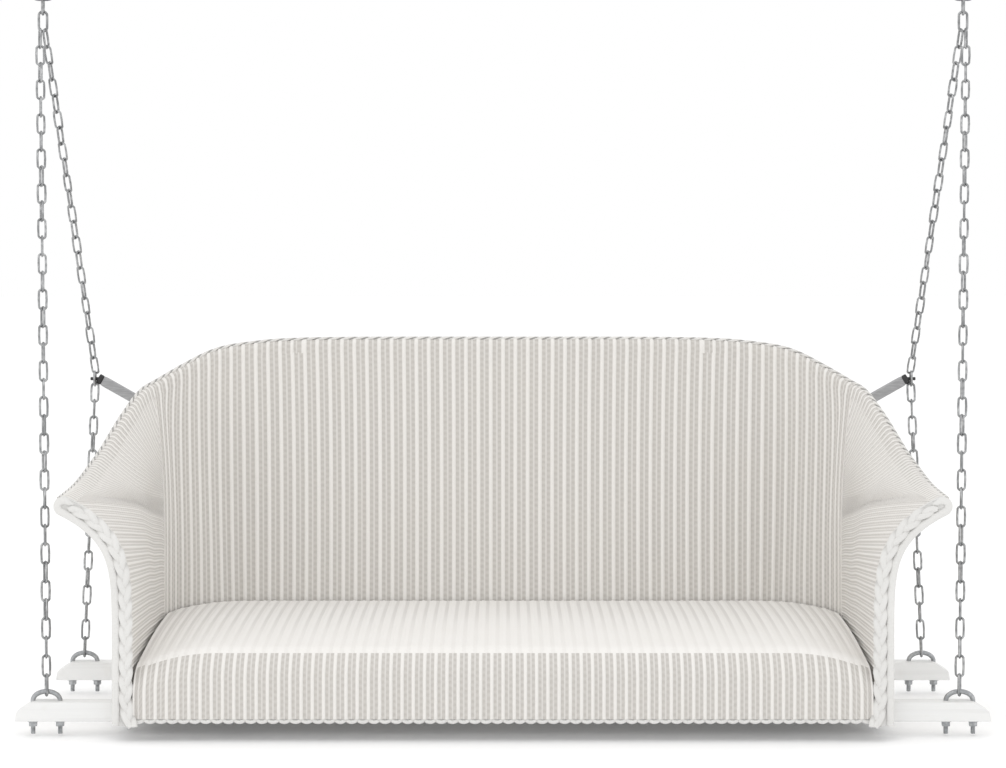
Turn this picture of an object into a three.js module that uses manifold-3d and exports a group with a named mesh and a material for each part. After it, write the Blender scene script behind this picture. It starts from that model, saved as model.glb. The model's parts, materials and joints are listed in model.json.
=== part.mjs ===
// Two-seat loom-woven porch swing on four chains.
// Millimetres, +Z up. The origin is on the ceiling, midway between the two ceiling plates.
// The seat faces -Y, and "left" and "right" are the viewer's, standing in front of it.
// Inside the model everything is first placed from the top of the front beam at its middle,
// and one group at the end moves the whole swing up to hang from the origin.
import * as THREE from 'three';
import Module from 'manifold-3d';
import { mergeVertices } from 'three/addons/utils/BufferGeometryUtils.js';

const wasm = await Module();
wasm.setup();

// ---- driving dimensions ----
const GAP = 0.5; // clearance between pieces that rest on each other

const CHAIN_X = 750; // swing centre line to each pair of chains, at the beams
const REAR_BEAM_Y = 420; // front beam to rear beam
const HINGE_Y = 276; // the chains meet above the swing's centre of mass
const HINGE_Z = 1174; // hinge line above the beam tops
const HINGE_DROP = 40; // hinge line below the ceiling

const BEAM_HALF_LENGTH = 800;
const BEAM_DEPTH = 38;
const BEAM_HEIGHT = 32;

const FRONT_Y = -60; // front face of the apron
const SEAT_HALF_WIDTH = 597;
const SEAT_TOP = 93; // crown of the deck at its front edge
const SEAT_RISE = 5; // the deck is this much higher at the back
const SEAT_EDGE_DROP = 28; // the crown falls by this much at the two sides
const SEAT_EDGE_RUN = 130; // over this width
const SKIRT_BOTTOM = -28; // lower edge of apron and outer skins

const SHELL_HALF = 15; // half the distance between inner and outer woven faces
const SKIN = 3; // thickness of one woven skin
const FLARE_START = 72; // below this height the shell walls are upright
const FLARE_POWER = 5.4; // how late the arm walls curl outwards
const ARM_STATION = 11; // station number of the arm fronts, counted from the back's middle
const CORNER_STATION = 5; // where the back panel meets an arm panel
const SKIN_FRONT_Y = -44; // arm skins start behind the front bands

const RIM_RADIUS = 15.5;
const FRAME_TUBE_RADIUS = 10;
const POST_RADIUS = 7;
const TOP_TUBE_RADIUS = 8.5;

const ROD_RADIUS = 4; // U-bolts and ceiling eyes
const UBOLT_HALF_SPAN = 22.3;
const UBOLT_RISE = 15; // rod centre line above the beam
const UBOLT_END = -54.5;

const CHAIN_WIRE = 4;
const CHAIN_WIDTH = 16.5;
const RING_WIRE_RADIUS = 2.25; // the large links at the top
const RING_HALF_HEIGHT = 17;
const RING_HALF_WIDTH = 7.25;
const APEX_X = 798;

// Middle of the shell seen from above: at the seat, and the rim's centre line with its height.
// The stations run from the middle of the back round the corner to the arm front.
const SEAT_PLAN = [
  [0, 515], [376, 515], [446, 515], [513, 508], [566, 481], [598, 448],
  [613, 408], [618.5, 352], [619, 257], [619, 190], [619, 75], [619, SKIN_FRONT_Y],
];
const RIM_LINE = [
  [0, 600, 558], [379, 600, 556], [453, 598, 551], [530, 590, 538], [590, 562, 510], [633, 505, 484],
  [652, 460, 471], [670, 380, 435], [690, 270, 381], [698, 200, 360], [706, 80, 336], [713, SKIN_FRONT_Y, 325],
];

// ---- materials ----
const finish = (color, roughness, metalness) => new THREE.MeshStandardMaterial({ color, roughness, metalness });
const weave = finish(0xdedbd5, 0.75, 0);
const braid = finish(0xeeedea, 0.65, 0);
const paintedWood = finish(0xefefed, 0.5, 0);
const frameSteel = finish(0x8b8e90, 0.45, 0.9);
const galvanised = finish(0xa9adaf, 0.4, 1);
const satinMetal = finish(0x97999b, 0.4, 1);
const blackPlastic = finish(0x1d1e1f, 0.5, 0);
const castIron = finish(0x77797b, 0.5, 0.9);

// ---- helpers ----
const swing = new THREE.Group();
const sides = [['left', -1], ['right', 1]];
const vec = (x, y, z) => new THREE.Vector3(x, y, z);

function add(name, geometry, material) {
  const mesh = new THREE.Mesh(geometry, material);
  mesh.name = name;
  swing.add(mesh);
  return mesh;
}

// A closed solid from points and triangles, turned the right way out by its own volume.
function solid(points, triangles) {
  let volume = 0;
  for (const [a, b, c] of triangles) volume += points[a].dot(points[b].clone().cross(points[c]));
  const index = triangles.flatMap(([a, b, c]) => (volume < 0 ? [a, c, b] : [a, b, c]));
  const geometry = new THREE.BufferGeometry().setFromPoints(points);
  geometry.setIndex(index);
  geometry.computeVertexNormals();
  return geometry;
}

// Joins rings of points into a solid. outline is the ring's flat shape, for the two ends.
function loft(rings, outline, closed = false) {
  const count = outline.length;
  const points = rings.flat();
  const triangles = [];
  const last = closed ? rings.length : rings.length - 1;
  for (let r = 0; r < last; r++) {
    const here = r * count;
    const next = ((r + 1) % rings.length) * count;
    for (let i = 0; i < count; i++) {
      const j = (i + 1) % count;
      triangles.push([here + i, here + j, next + j], [here + i, next + j, next + i]);
    }
  }
  if (!closed) {
    const flat = outline.map(([a, b]) => new THREE.Vector2(a, b));
    const turned = THREE.ShapeUtils.isClockWise(flat);
    const end = (rings.length - 1) * count;
    for (const [a, b, c] of THREE.ShapeUtils.triangulateShape(turned ? flat.toReversed() : flat, [])) {
      const [i, j, k] = turned ? [count - 1 - a, count - 1 - b, count - 1 - c] : [a, b, c];
      triangles.push(turned ? [i, j, k] : [i, k, j]);
      triangles.push(turned ? [end + i, end + k, end + j] : [end + i, end + j, end + k]);
    }
  }
  return solid(points, triangles);
}

// Sweeps an outline along a curve; up(t) says where the outline's second axis points.
function sweep(curve, outline, steps, up, closed = false) {
  const rings = [];
  const count = closed ? steps : steps + 1;
  for (let i = 0; i < count; i++) {
    const t = i / steps;
    const along = curve.getTangent(t);
    const side = along.clone().cross(up(t)).normalize();
    const rise = side.clone().cross(along).normalize();
    const centre = curve.getPoint(t);
    rings.push(outline.map(([a, b]) => centre.clone().addScaledVector(side, a).addScaledVector(rise, b)));
  }
  return loft(rings, outline, closed);
}

const alongX = () => vec(1, 0, 0);
const alongY = () => vec(0, 1, 0);
const alongZ = () => vec(0, 0, 1);

function roundOutline(radius, count = 10) {
  const turn = (2 * Math.PI) / count;
  return Array.from({ length: count }, (_, i) => [radius * Math.cos(i * turn), radius * Math.sin(i * turn)]);
}

function ovalOutline(halfWidth, halfHeight, steps = 4) {
  const straight = halfHeight - halfWidth;
  const points = [];
  for (let i = 0; i <= steps; i++) {
    const a = (Math.PI * i) / steps;
    points.push([halfWidth * Math.cos(a), straight + halfWidth * Math.sin(a)]);
  }
  for (let i = 0; i <= steps; i++) {
    const a = Math.PI + (Math.PI * i) / steps;
    points.push([halfWidth * Math.cos(a), -straight + halfWidth * Math.sin(a)]);
  }
  return points;
}

// A shell between two grids of points of the same size.
function slab(inner, outer) {
  const rows = inner.length;
  const columns = inner[0].length;
  const points = [...inner.flat(), ...outer.flat()];
  const at = (layer, r, c) => layer * rows * columns + r * columns + c;
  const triangles = [];
  const quad = (a, b, c, d) => triangles.push([a, b, c], [a, c, d]);
  for (let r = 0; r < rows - 1; r++) {
    for (let c = 0; c < columns - 1; c++) {
      quad(at(0, r, c), at(0, r, c + 1), at(0, r + 1, c + 1), at(0, r + 1, c));
      quad(at(1, r, c), at(1, r + 1, c), at(1, r + 1, c + 1), at(1, r, c + 1));
    }
  }
  for (let c = 0; c < columns - 1; c++) {
    quad(at(0, 0, c), at(1, 0, c), at(1, 0, c + 1), at(0, 0, c + 1));
    quad(at(0, rows - 1, c), at(0, rows - 1, c + 1), at(1, rows - 1, c + 1), at(1, rows - 1, c));
  }
  for (let r = 0; r < rows - 1; r++) {
    quad(at(0, r, 0), at(0, r + 1, 0), at(1, r + 1, 0), at(1, r, 0));
    quad(at(0, r, columns - 1), at(1, r, columns - 1), at(1, r + 1, columns - 1), at(0, r + 1, columns - 1));
  }
  return solid(points, triangles);
}

function toManifold(geometry) {
  const bare = geometry.clone();
  bare.deleteAttribute('normal');
  bare.deleteAttribute('uv');
  const merged = mergeVertices(bare, 1e-4);
  return new wasm.Manifold(new wasm.Mesh({
    numProp: 3,
    vertProperties: new Float32Array(merged.attributes.position.array),
    triVerts: new Uint32Array(merged.index.array),
  }));
}

function fromManifold(body) {
  const mesh = body.getMesh();
  const result = new THREE.BufferGeometry();
  result.setAttribute('position', new THREE.BufferAttribute(mesh.vertProperties, 3));
  result.setIndex(new THREE.BufferAttribute(mesh.triVerts, 1));
  result.computeVertexNormals();
  return result;
}

const cut = (geometry, ...tools) =>
  fromManifold(tools.reduce((body, tool) => body.subtract(toManifold(tool)), toManifold(geometry)));
const join = (geometry, ...others) =>
  fromManifold(others.reduce((body, other) => body.add(toManifold(other)), toManifold(geometry)));

const block = (x0, x1, y0, y1, z0, z1) =>
  new THREE.BoxGeometry(x1 - x0, y1 - y0, z1 - z0).translate((x0 + x1) / 2, (y0 + y1) / 2, (z0 + z1) / 2);

// A round bar between two points.
function rod(from, to, radius, count = 10) {
  const up = Math.abs(to.z - from.z) > Math.abs(to.y - from.y) ? alongY : alongZ;
  return sweep(new THREE.LineCurve3(from, to), roundOutline(radius, count), 1, up);
}

// A flat outline in x and z, given a thickness along y.
function standing(points, y0, y1) {
  const rings = [y0, y1].map((y) => points.map(([x, z]) => vec(x, y, z)));
  return loft(rings, points);
}

// ---- the shell's middle surface ----
const bothSides = (list) => [...list.slice(1).reverse().map(([x, ...rest]) => [-x, ...rest]), ...list];
const planCurve = new THREE.CatmullRomCurve3(bothSides(SEAT_PLAN).map(([x, y]) => vec(x, y, 0)));
const rimCurve = new THREE.CatmullRomCurve3(bothSides(RIM_LINE).map((p) => vec(...p)));
const onCurve = (station) => (station + ARM_STATION) / (2 * ARM_STATION);

function shellPoint(station, z) {
  const foot = planCurve.getPoint(onCurve(station));
  const rim = rimCurve.getPoint(onCurve(station));
  const share = Math.max(0, (z - FLARE_START) / (rim.z - FLARE_START));
  const power = 1 + (FLARE_POWER - 1) * THREE.MathUtils.smoothstep(Math.abs(station), 3, 8);
  const out = share ** power;
  return vec(foot.x + (rim.x - foot.x) * out, foot.y + (rim.y - foot.y) * out, z);
}

function shellNormal(station, z) {
  const step = station > 0 ? -0.05 : 0.05;
  const along = shellPoint(station + step, z).sub(shellPoint(station, z)).multiplyScalar(Math.sign(step));
  const rise = shellPoint(station, z).sub(shellPoint(station, z - 2));
  return rise.cross(along).normalize();
}

const offShell = (station, z, distance) =>
  shellPoint(station, z).addScaledVector(shellNormal(station, z), distance);

// One woven skin: from station to station, between two distances from the middle surface.
function skin(fromStation, toStation, columns, rows, bottom, topMargin, near, far) {
  const grid = (distance) => Array.from({ length: rows + 1 }, (_, r) =>
    Array.from({ length: columns + 1 }, (_, c) => {
      const station = fromStation + ((toStation - fromStation) * c) / columns;
      const top = rimCurve.getPoint(onCurve(station)).z - topMargin;
      const share = 1 - (1 - r / rows) ** 1.5;
      return offShell(station, bottom + (top - bottom) * share, distance);
    }));
  return slab(grid(near), grid(far));
}

const INNER_SKIN = [-SHELL_HALF, SKIN - SHELL_HALF];
const OUTER_SKIN = [SHELL_HALF - SKIN, SHELL_HALF];
const INNER_BOTTOM = 24; // inner skins end above the seat frame
const BACK_TOP_MARGIN = 13;
const ARM_TOP_MARGIN = 13;
const PANEL_GAP = 0.02; // in stations, between back and arm panels

const backEnd = CORNER_STATION - PANEL_GAP;
add('back_inner_weave', skin(-backEnd, backEnd, 24, 6, INNER_BOTTOM, BACK_TOP_MARGIN, ...INNER_SKIN), weave);
const outerBack = skin(-backEnd, backEnd, 24, 6, SKIRT_BOTTOM, BACK_TOP_MARGIN, ...OUTER_SKIN);

const beamNotch = (y) => block(-900, 900, y - BEAM_DEPTH / 2 - 3, y + BEAM_DEPTH / 2 + 3, SKIRT_BOTTOM - 10, 3);
for (const [name, side] of sides) {
  const from = side * (CORNER_STATION + PANEL_GAP);
  const to = side * ARM_STATION;
  add(`${name}_arm_inner_weave`, skin(from, to, 10, 9, INNER_BOTTOM, ARM_TOP_MARGIN, ...INNER_SKIN), weave);
  const outer = skin(from, to, 10, 9, SKIRT_BOTTOM, ARM_TOP_MARGIN, ...OUTER_SKIN);
  add(`${name}_arm_outer_weave`, cut(outer, beamNotch(0), beamNotch(REAR_BEAM_Y)), weave);
}

// ---- rim: a steel tube inside a woven roll that opens downwards over the skins ----
const awayFromShell = (t) => {
  const station = t * 2 * ARM_STATION - ARM_STATION;
  const rim = rimCurve.getPoint(t);
  return rim.sub(shellPoint(station, rim.z - 8)).normalize();
};
const ROLL_OPENING = THREE.MathUtils.degToRad(36);
const ROLL_BORE = TOP_TUBE_RADIUS + GAP;
const ROLL_SIDES = 9;
const rollArc = (radius) => Array.from({ length: ROLL_SIDES + 1 }, (_, i) => {
  const a = -Math.PI / 2 + ROLL_OPENING + ((2 * Math.PI - 2 * ROLL_OPENING) * i) / ROLL_SIDES;
  return [radius * Math.cos(a), radius * Math.sin(a)];
});
const rollOutline = [...rollArc(RIM_RADIUS), ...rollArc(ROLL_BORE).reverse()];
const RIM_STEPS = 44;
add('rim_roll', sweep(rimCurve, rollOutline, RIM_STEPS, awayFromShell), braid);
add('top_frame_tube', sweep(rimCurve, roundOutline(TOP_TUBE_RADIUS, 6), RIM_STEPS, awayFromShell), frameSteel);

// ---- steel frame inside the shell ----
const FRAME_Z = GAP + FRAME_TUBE_RADIUS; // the frame tubes rest on the beams
const FRONT_TUBE_Y = FRONT_Y + 21;
const ringFront = [[300, FRONT_TUBE_Y], [550, FRONT_TUBE_Y], [588, FRONT_TUBE_Y], [608, FRONT_TUBE_Y + 9], [617, FRONT_TUBE_Y + 27]];
const ringHalf = [...SEAT_PLAN.slice(0, -1), ...ringFront.toReversed()];
const ringPoints = [...bothSides(ringHalf), [0, FRONT_TUBE_Y]].map(([x, y]) => vec(x, y, FRAME_Z));
const ringPath = new THREE.CatmullRomCurve3(ringPoints, true);
add('seat_frame_ring', sweep(ringPath, roundOutline(FRAME_TUBE_RADIUS, 8), 60, alongZ, true), frameSteel);

function post(station) {
  const bottom = FRAME_Z + FRAME_TUBE_RADIUS + GAP;
  const top = rimCurve.getPoint(onCurve(station)).z - RIM_RADIUS - 3;
  const line = [];
  for (let i = 0; i <= 8; i++) line.push(shellPoint(station, bottom + ((top - bottom) * i) / 8));
  const path = new THREE.CatmullRomCurve3(line);
  return sweep(path, roundOutline(POST_RADIUS, 8), 8, Math.abs(station) > 6 ? alongY : alongX);
}
const BRACKET_POST = 3.6; // station of the back posts that carry the chain brackets
const ARM_POST = 10.85;
const bracketPosts = {};
add('middle_back_post', post(0), frameSteel);
for (const [name, side] of sides) {
  bracketPosts[name] = post(side * BRACKET_POST);
  add(`${name}_arm_front_post`, post(side * ARM_POST), frameSteel);
}

// ---- seat: cross bars on the beams, springs, woven deck, apron and hem cord ----
const BAR_HALF_WIDTH = 15;
const BAR_TOP = 20.5;
const BAR_X = 450;
const barFront = FRONT_TUBE_Y + FRAME_TUBE_RADIUS + 3;
const barBack = 515 - FRAME_TUBE_RADIUS - 3;
const RAIL_BOLT_HOLE = 4.4;
const RAIL_BOLT_TIP = 14;
for (const [name, side] of sides) {
  const x = side * BAR_X;
  const bar = block(x - BAR_HALF_WIDTH, x + BAR_HALF_WIDTH, barFront, barBack, GAP, BAR_TOP);
  const holes = [0, REAR_BEAM_Y].map((y) => rod(vec(x, y, -1), vec(x, y, RAIL_BOLT_TIP + 1), RAIL_BOLT_HOLE));
  add(`${name}_seat_cross_bar`, cut(bar, ...holes), frameSteel);
}

// Four flat springs run side to side under the deck, bowed up, and two ties hold them apart.
const SPRING_HALF_WIDTH = 20;
const SPRING_HALF_LENGTH = 560;
const SPRING_Y = [60, 180, 300, 420];
const TIE_X = 187;
const springHeight = (x) => 24 + 24 * (1 - (x / SPRING_HALF_LENGTH) ** 2);
const springPieces = SPRING_Y.map((y) => {
  const lower = Array.from({ length: 11 }, (_, k) => -SPRING_HALF_LENGTH + (SPRING_HALF_LENGTH * k) / 5)
    .map((x) => [x, springHeight(x)]);
  const upper = lower.map(([x, z]) => [x, z + 3]).reverse();
  return standing([...lower, ...upper], y - SPRING_HALF_WIDTH, y + SPRING_HALF_WIDTH);
});
const ties = [-TIE_X, TIE_X].map((x) => {
  const z = springHeight(TIE_X) + 1;
  return rod(vec(x, SPRING_Y[0] - 5, z), vec(x, SPRING_Y.at(-1) + 5, z), 3, 6);
});
add('seat_spring_mat', join(...springPieces, ...ties), frameSteel);

// How far the crown has fallen at x.
const crownDrop = (x) => {
  const share = Math.max(0, (Math.abs(x) - (SEAT_HALF_WIDTH - SEAT_EDGE_RUN)) / SEAT_EDGE_RUN);
  return SEAT_EDGE_DROP * share ** 2;
};
// The inner back skin in plan, so that the deck keeps clear of it in the corners.
function deckBack(x) {
  let station = 0;
  while (station < 8 && offShell(station, FLARE_START, -SHELL_HALF).x < Math.abs(x) + 4) station += 0.05;
  return offShell(station, FLARE_START, -SHELL_HALF).y - 3;
}
const WATERFALL = 46; // radius of the rounded front edge
const DECK_UNDERSIDE = 60;
const deckColumns = [];
for (let i = 0; i <= 20; i++) {
  const a = -Math.PI / 2 + (Math.PI * i) / 20;
  deckColumns.push(SEAT_HALF_WIDTH * Math.sin(a));
}
function deckSection(x) {
  const drop = crownDrop(x);
  const back = deckBack(x);
  const centreY = FRONT_Y + WATERFALL;
  const centreZ = SEAT_TOP - WATERFALL;
  const points = [];
  for (let i = 0; i <= 6; i++) {
    const a = Math.PI - (Math.PI / 2) * (i / 6);
    points.push([centreY + WATERFALL * Math.cos(a), centreZ + WATERFALL * Math.sin(a)]);
  }
  for (let i = 1; i <= 4; i++) {
    const share = i / 4;
    points.push([centreY + (back - centreY) * share, SEAT_TOP + SEAT_RISE * share]);
  }
  points.push([back, DECK_UNDERSIDE]);
  points.push([centreY, DECK_UNDERSIDE]);
  points.push([FRONT_Y + 12, centreZ]);
  return points.map(([y, z]) => [y, z - drop]);
}
const deckRings = deckColumns.map((x) => deckSection(x).map(([y, z]) => vec(x, y, z)));
add('seat_deck', loft(deckRings, deckSection(0)), weave);

const APRON_THICKNESS = 8;
const CORD_RADIUS = 3.5;
const apronTop = (x) => SEAT_TOP - WATERFALL - crownDrop(x) - GAP;
const apronBottom = SKIRT_BOTTOM + 2 * CORD_RADIUS + GAP;
const apronSection = (x) => [
  [FRONT_Y, apronTop(x)], [FRONT_Y + APRON_THICKNESS, apronTop(x)],
  [FRONT_Y + APRON_THICKNESS, apronBottom], [FRONT_Y, apronBottom],
];
add('front_apron', loft(deckColumns.map((x) => apronSection(x).map(([y, z]) => vec(x, y, z))), apronSection(0)), weave);
const cordEnd = SEAT_HALF_WIDTH;
const cordY = FRONT_Y + CORD_RADIUS;
const cordZ = SKIRT_BOTTOM + CORD_RADIUS;
add('apron_hem_cord', rod(vec(-cordEnd, cordY, cordZ), vec(cordEnd, cordY, cordZ), CORD_RADIUS, 8), braid);

// ---- arm fronts: a band that closes the arm, with a braid and a rounded bead on its face ----
const BAND_BACK = SKIN_FRONT_Y - 3;
const BAND_FRONT = -56;
const TRIM_FRONT = -61.5;
const ARM_BOTTOM = -32;
const BEAD_CENTRE = 9.6; // outwards from the middle of the wall
const BEAD_HALF_WIDTH = 5.9;
const BRAID_CENTRE = -6.2;
const BRAID_HALF_WIDTH = 9.3;

// The arm wall at its front as a line in x and z, with its outward direction, and round the tip.
function armLine() {
  const line = [];
  const tip = rimCurve.getPoint(1);
  for (let i = 0; i <= 24; i++) {
    const share = 1 - (1 - i / 24) ** 1.7;
    const z = ARM_BOTTOM + (tip.z - ARM_BOTTOM) * share;
    const point = shellPoint(ARM_STATION, z);
    const rise = point.clone().sub(shellPoint(ARM_STATION, z - 2)).normalize();
    line.push({ x: point.x, z, outX: rise.z, outZ: -rise.x });
  }
  return line;
}
function bandOutline(centre, halfWidth, side) {
  const line = armLine();
  const edge = (distance) => line.map((p) => [side * (p.x + p.outX * distance), p.z + p.outZ * distance]);
  const end = line.at(-1);
  const round = [];
  for (let i = 1; i < 6; i++) {
    const a = (Math.PI * i) / 6;
    const across = centre - halfWidth * Math.cos(a);
    const along = halfWidth * Math.sin(a);
    const x = end.x + end.outX * across - end.outZ * along;
    round.push([side * x, end.z + end.outZ * across + end.outX * along]);
  }
  return [...edge(centre - halfWidth), ...round, ...edge(centre + halfWidth).reverse()];
}
for (const [name, side] of sides) {
  const band = standing(bandOutline(0, RIM_RADIUS, side), BAND_FRONT, BAND_BACK);
  const bead = standing(bandOutline(BEAD_CENTRE, BEAD_HALF_WIDTH, side), TRIM_FRONT, BAND_FRONT + 1);
  add(`${name}_arm_band`, join(band, bead), braid);
  add(`${name}_arm_braid`,
    standing(bandOutline(BRAID_CENTRE, BRAID_HALF_WIDTH, side), TRIM_FRONT, BAND_FRONT - GAP), braid);
}

// ---- beams with their U-bolts, nuts and frame bolts ----
const beamOutline = [];
for (const side of [1, -1]) {
  const end = [[772, 0], [797, -16], [BEAM_HALF_LENGTH, -BEAM_HEIGHT]].map(([x, z]) => [side * x, z]);
  beamOutline.push(...(side > 0 ? end : end.reverse()));
}
const UBOLT_HOLE = ROD_RADIUS + 0.4;
const NUT_TOP = -BEAM_HEIGHT - GAP;
const NUT_FLANGE = 2;
const NUT_HEIGHT = 9.5;

function uBolt(y) {
  const path = new THREE.CurvePath();
  const leg = (x, from, to) => new THREE.LineCurve3(vec(x, y, from), vec(x, y, to));
  path.add(leg(-UBOLT_HALF_SPAN, UBOLT_END, 0));
  for (let i = 0; i < 8; i++) {
    const arch = (k) => {
      const a = Math.PI - (Math.PI * k) / 8;
      return vec(UBOLT_HALF_SPAN * Math.cos(a), y, UBOLT_RISE * Math.sin(a));
    };
    path.add(new THREE.LineCurve3(arch(i), arch(i + 1)));
  }
  path.add(leg(UBOLT_HALF_SPAN, 0, UBOLT_END));
  const corners = [path.curves[0].v1, ...path.curves.map((c) => c.v2)];
  const rings = corners.map((corner, i) => {
    const before = corners[Math.max(0, i - 1)];
    const after = corners[Math.min(corners.length - 1, i + 1)];
    const along = after.clone().sub(before).normalize();
    const side = vec(0, 1, 0);
    const rise = side.clone().cross(along);
    return roundOutline(ROD_RADIUS, 8).map(([a, b]) =>
      corner.clone().addScaledVector(side, a).addScaledVector(rise, b));
  });
  return loft(rings, roundOutline(ROD_RADIUS, 8));
}

function flangeNut() {
  const hex = new THREE.Shape(roundOutline(7.5, 6).map(([a, b]) => new THREE.Vector2(a, b)));
  const hole = new THREE.Path(roundOutline(UBOLT_HOLE, 8).reverse().map(([a, b]) => new THREE.Vector2(a, b)));
  hex.holes.push(hole);
  const disc = new THREE.Shape(roundOutline(10, 12).map(([a, b]) => new THREE.Vector2(a, b)));
  disc.holes.push(hole);
  const flange = new THREE.ExtrudeGeometry(disc, { depth: NUT_FLANGE, bevelEnabled: false });
  const body = new THREE.ExtrudeGeometry(hex, { depth: NUT_HEIGHT - 1, bevelEnabled: false });
  flange.translate(0, 0, -NUT_FLANGE);
  body.translate(0, 0, -NUT_HEIGHT);
  return join(flange, body);
}

for (const [name, y] of [['front', 0], ['rear', REAR_BEAM_Y]]) {
  const legX = sides.flatMap(([, side]) => [-1, 1].map((leg) => side * CHAIN_X + leg * UBOLT_HALF_SPAN));
  const holes = [
    ...legX.map((x) => rod(vec(x, y, 5), vec(x, y, -BEAM_HEIGHT - 5), UBOLT_HOLE)),
    ...[-BAR_X, BAR_X].map((x) => rod(vec(x, y, 5), vec(x, y, -BEAM_HEIGHT - 5), RAIL_BOLT_HOLE)),
  ];
  add(`${name}_beam`, cut(standing(beamOutline, y - BEAM_DEPTH / 2, y + BEAM_DEPTH / 2), ...holes), paintedWood);
  for (const [sideName, side] of sides) {
    const bolt = add(`${name}_${sideName}_u_bolt`, uBolt(y), galvanised);
    bolt.position.x = side * CHAIN_X;
    for (const [legName, leg] of [['inner', -1], ['outer', 1]]) {
      const nut = add(`${name}_${sideName}_${legName}_nut`, flangeNut(), galvanised);
      nut.position.set(side * (CHAIN_X + leg * UBOLT_HALF_SPAN), y, NUT_TOP);
    }
    const x = side * BAR_X;
    const head = new THREE.CylinderGeometry(7.5, 7.5, 5.5, 6).rotateX(Math.PI / 2).translate(x, y, NUT_TOP - 2.75);
    const shank = rod(vec(x, y, NUT_TOP - 2), vec(x, y, RAIL_BOLT_TIP), ROD_RADIUS);
    add(`${name}_${sideName}_beam_bolt`, join(head, shank), galvanised);
  }
}

// ---- chain brackets: flat-oval bars from the back posts out to the rear chains ----
const BRACKET_TIP = vec(736, 555, 496);
const BRACKET_LINE = [
  vec(553, 577, 384), vec(570, 568, 393), vec(598, 560, 412), vec(625, 556, 430), vec(655, 555, 450),
  vec(690, 555, 470), BRACKET_TIP,
];
const BRACKET_HALF_WIDTH = 9.5;
const BRACKET_HALF_THICKNESS = 3.6;
const PEG_X = CHAIN_X + 0.5;
const mirrored = (point, side) => vec(side * point.x, point.y, point.z);

const outerBackHoles = [];
for (const [name, side] of sides) {
  const line = new THREE.CatmullRomCurve3(BRACKET_LINE.map((p) => mirrored(p, side)));
  let bracket = sweep(line, ovalOutline(BRACKET_HALF_THICKNESS, BRACKET_HALF_WIDTH), 12, alongZ);
  const anchor = line.getPoint(1 / 6);
  const into = shellNormal(side * BRACKET_POST, anchor.z).negate();
  const bolt = (radius, from, to) =>
    rod(anchor.clone().addScaledVector(into, from), anchor.clone().addScaledVector(into, to), radius, 8);
  bracket = cut(bracket, bolt(3.4, -30, 60));
  add(`${name}_chain_bracket`, bracket, satinMetal);
  const head = bolt(6.5, -BRACKET_HALF_THICKNESS - 8, -BRACKET_HALF_THICKNESS - 4);
  add(`${name}_bracket_screw`, join(bolt(3, -BRACKET_HALF_THICKNESS - 7, 26), head), galvanised);
  outerBackHoles.push(bolt(3.6, -30, 36));
  add(`${name}_back_post_outer`, cut(bracketPosts[name], bolt(3.6, -30, 36)), frameSteel);

  const direction = line.getTangent(1);
  const start = line.getPoint(1).addScaledVector(direction, GAP);
  const plugEnd = start.clone().addScaledVector(direction, 9);
  const plug = sweep(new THREE.LineCurve3(start, plugEnd), ovalOutline(5.4, 9), 1, alongZ);
  const pegLine = [vec(side * (PEG_X - 8), 555, plugEnd.z - 1), vec(side * (PEG_X + 8), 555, plugEnd.z - 1)];
  add(`${name}_bracket_plug`, join(plug, rod(...pegLine, 3, 8)), blackPlastic);
}
add('back_outer_weave', cut(outerBack, ...outerBackHoles), weave);

// ---- chains: each strand is one bar with the cross section of alternating links ----
const half = CHAIN_WIDTH / 2;
const wire = CHAIN_WIRE / 2;
const strandOutline = [
  [half, -wire], [half, wire], [wire, wire], [wire, half], [-wire, half], [-wire, wire],
  [-half, wire], [-half, -wire], [-wire, -wire], [-wire, -half], [wire, -half], [wire, -wire],
];
const strand = (from, to) => sweep(new THREE.LineCurve3(from, to), strandOutline, 1, alongY);
const PEG_HEIGHT = BRACKET_TIP.z + 4;
const PEG_Y = 555;

function ring(centre, across, upright, halfWidth, halfHeight) {
  const count = 16;
  const rings = [];
  for (let i = 0; i < count; i++) {
    const a = (2 * Math.PI * i) / count;
    const straight = halfHeight - halfWidth;
    const along = halfWidth * Math.sin(a) + Math.sign(Math.round(Math.sin(a) * 1e6)) * straight;
    const point = centre.clone().addScaledVector(across, halfWidth * Math.cos(a)).addScaledVector(upright, along);
    const out = across.clone().multiplyScalar(Math.cos(a)).addScaledVector(upright, Math.sin(a));
    const normal = across.clone().cross(upright);
    rings.push(roundOutline(RING_WIRE_RADIUS, 6).map(([u, v]) =>
      point.clone().addScaledVector(out, u).addScaledVector(normal, v)));
  }
  return loft(rings, roundOutline(RING_WIRE_RADIUS, 6), true);
}

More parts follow.
